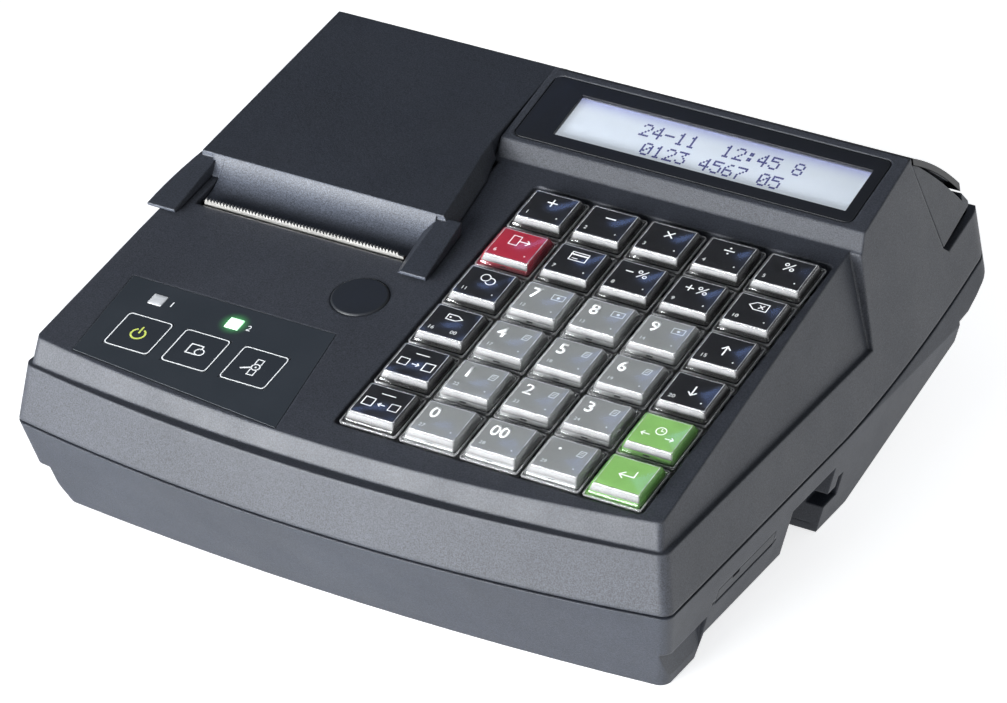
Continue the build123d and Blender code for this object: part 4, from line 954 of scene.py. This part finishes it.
for text, x0, t0 in (("24-11  12:45 8", 13.36, 20.0), ("0123 4567 05", 16.84, 13.15)):
    for i, ch in enumerate(text):
        for row, bits in enumerate(DOTS[ch].split()):
            for col, bit in enumerate(bits):
                if bit == "1":
                    cx, cy = x0 + i * 3.48 + col * 0.59 + 0.3, t0 - row * 0.71 - 0.35
                    vs = []
                    for sx, sy in ((-1, -1), (1, -1), (1, 1), (-1, 1)):
                        vs.append(((cx + sx * 0.27 - 35.45) * MM, (cy + sy * 0.325 - 15.15) * MM))
                    lo = [bm.verts.new((a, b, -1.562 * MM)) for a, b in vs]
                    hi = [bm.verts.new((a, b, -1.53 * MM)) for a, b in vs]
                    bm.faces.new(hi)
                    bm.faces.new(list(reversed(lo)))
                    for q in range(4):
                        bm.faces.new((lo[q], lo[(q + 1) % 4], hi[(q + 1) % 4], hi[q]))
place("lcd_dots", finish_mesh(bm, "lcd_dots", 30), disp_matrix(35.45, 15.15), BODY_OF["display_module"], M["dots"])

# ------------------------------------------------------------------ floor, light and camera
m = Mat("pale_floor")
g = m.noise(3, 3.0, 0.5)
m.to(Base_Color=m.ramp(g, [(0.3, (0.86, 0.86, 0.865)), (0.7, (0.89, 0.89, 0.895))]), Roughness=m.span(g, 0.2, 0.8, 0.7, 0.8))
sep = m.add("ShaderNodeSeparateXYZ")
m.link(m.co, sep.inputs[0])
lift = m.span(m.math("ADD", sep.outputs["X"], m.math("MULTIPLY", sep.outputs["Y"], 0.6)), -0.25, 0.35, 0.46, 0.95)
both = m.add("ShaderNodeCombineColor")
for i in range(3):
    m.link(lift, both.inputs[i])
m.to(Emission_Color=both.outputs[0])
m.set(Emission_Strength=1.0)
me = bpy.data.meshes.new("floor")
me.from_pydata([(-4, -4, 0), (4, -4, 0), (4, 4, 0), (-4, 4, 0)], [], [(0, 1, 2, 3)])
me.materials.append(m.m)
floor = bpy.data.objects.new("floor", me)
scene.collection.objects.link(floor)

world = bpy.data.worlds.new("studio")
world.use_nodes = True
world.node_tree.nodes["Background"].inputs[0].default_value = (0.90, 0.95, 1.0, 1)
# dimmer where the tops of the keys mirror it, brighter towards the right
wt = world.node_tree
tc = wt.nodes.new("ShaderNodeTexCoord")
dot = wt.nodes.new("ShaderNodeVectorMath")
dot.operation = "DOT_PRODUCT"
dot.inputs[1].default_value = Vector((-0.42, 0.53, 0.73)).normalized()
wt.links.new(tc.outputs["Generated"], dot.inputs[0])
shade = wt.nodes.new("ShaderNodeMapRange")
for key, v in (("From Min", 0.72), ("From Max", 0.95), ("To Min", 0.25), ("To Max", 0.075)):
    shade.inputs[key].default_value = v
wt.links.new(dot.outputs["Value"], shade.inputs["Value"])
sp = wt.nodes.new("ShaderNodeSeparateXYZ")
wt.links.new(tc.outputs["Generated"], sp.inputs[0])
east = wt.nodes.new("ShaderNodeMapRange")
for key, v in (("From Min", 0.0), ("From Max", 1.0), ("To Min", 1.0), ("To Max", 1.9)):
    east.inputs[key].default_value = v
wt.links.new(sp.outputs["X"], east.inputs["Value"])
mul = wt.nodes.new("ShaderNodeMath")
mul.operation = "MULTIPLY"
wt.links.new(shade.outputs["Result"], mul.inputs[0])
wt.links.new(east.outputs["Result"], mul.inputs[1])
wt.links.new(mul.outputs[0], wt.nodes["Background"].inputs[1])
scene.world = world


def softbox(name, at, aim, size, radiance, colour=(1, 1, 1)):
    li = bpy.data.lights.new(name, "AREA")
    li.shape = "RECTANGLE"
    li.size, li.size_y = size
    li.energy = radiance * size[0] * size[1] * math.pi
    li.color = colour
    o = bpy.data.objects.new(name, li)
    scene.collection.objects.link(o)
    o.location = at
    o.rotation_mode = "QUATERNION"
    o.rotation_quaternion = (Vector(aim) - Vector(at)).to_track_quat("-Z", "Y")
    return o


softbox("front_softbox", (-0.48, -1.21, 0.25), (0, 0, 0.05), (1.2, 0.44), 30.6, (0.965, 0.985, 1.0))
softbox("right_fill", (1.5, 0.1, 0.22), (0, 0, 0.05), (0.8, 0.34), 3.0)
softbox("rear_window", (-0.60, 0.70, 1.02), (0.04, -0.03, 0.07), (0.13, 0.13), 3.0, (0.30, 0.46, 1.0))

az, el, roll = math.radians(29.253), math.radians(29.942), math.radians(0.358)
back = Vector((math.sin(az) * math.cos(el), -math.cos(az) * math.cos(el), math.sin(el)))
fwd = -back
right = Vector((math.cos(az), math.sin(az), 0))
up = right.cross(fwd)
r2 = math.cos(roll) * right + math.sin(roll) * up
u2 = -math.sin(roll) * right + math.cos(roll) * up
cd = bpy.data.cameras.new("camera")
cam = bpy.data.objects.new("camera", cd)
scene.collection.objects.link(cam)
cam.matrix_world = Matrix(((r2.x, u2.x, back.x, 0.5507), (r2.y, u2.y, back.y, -0.9888), (r2.z, u2.z, back.z, 0.6830), (0, 0, 0, 1)))
cd.sensor_fit = "HORIZONTAL"
cd.sensor_width = 36.0
cd.lens = 4902.26 / 1007 * 36.0
cd.clip_start, cd.clip_end = 0.05, 30
scene.camera = cam
scene.view_settings.view_transform = "Standard"
scene.view_settings.look = "None"
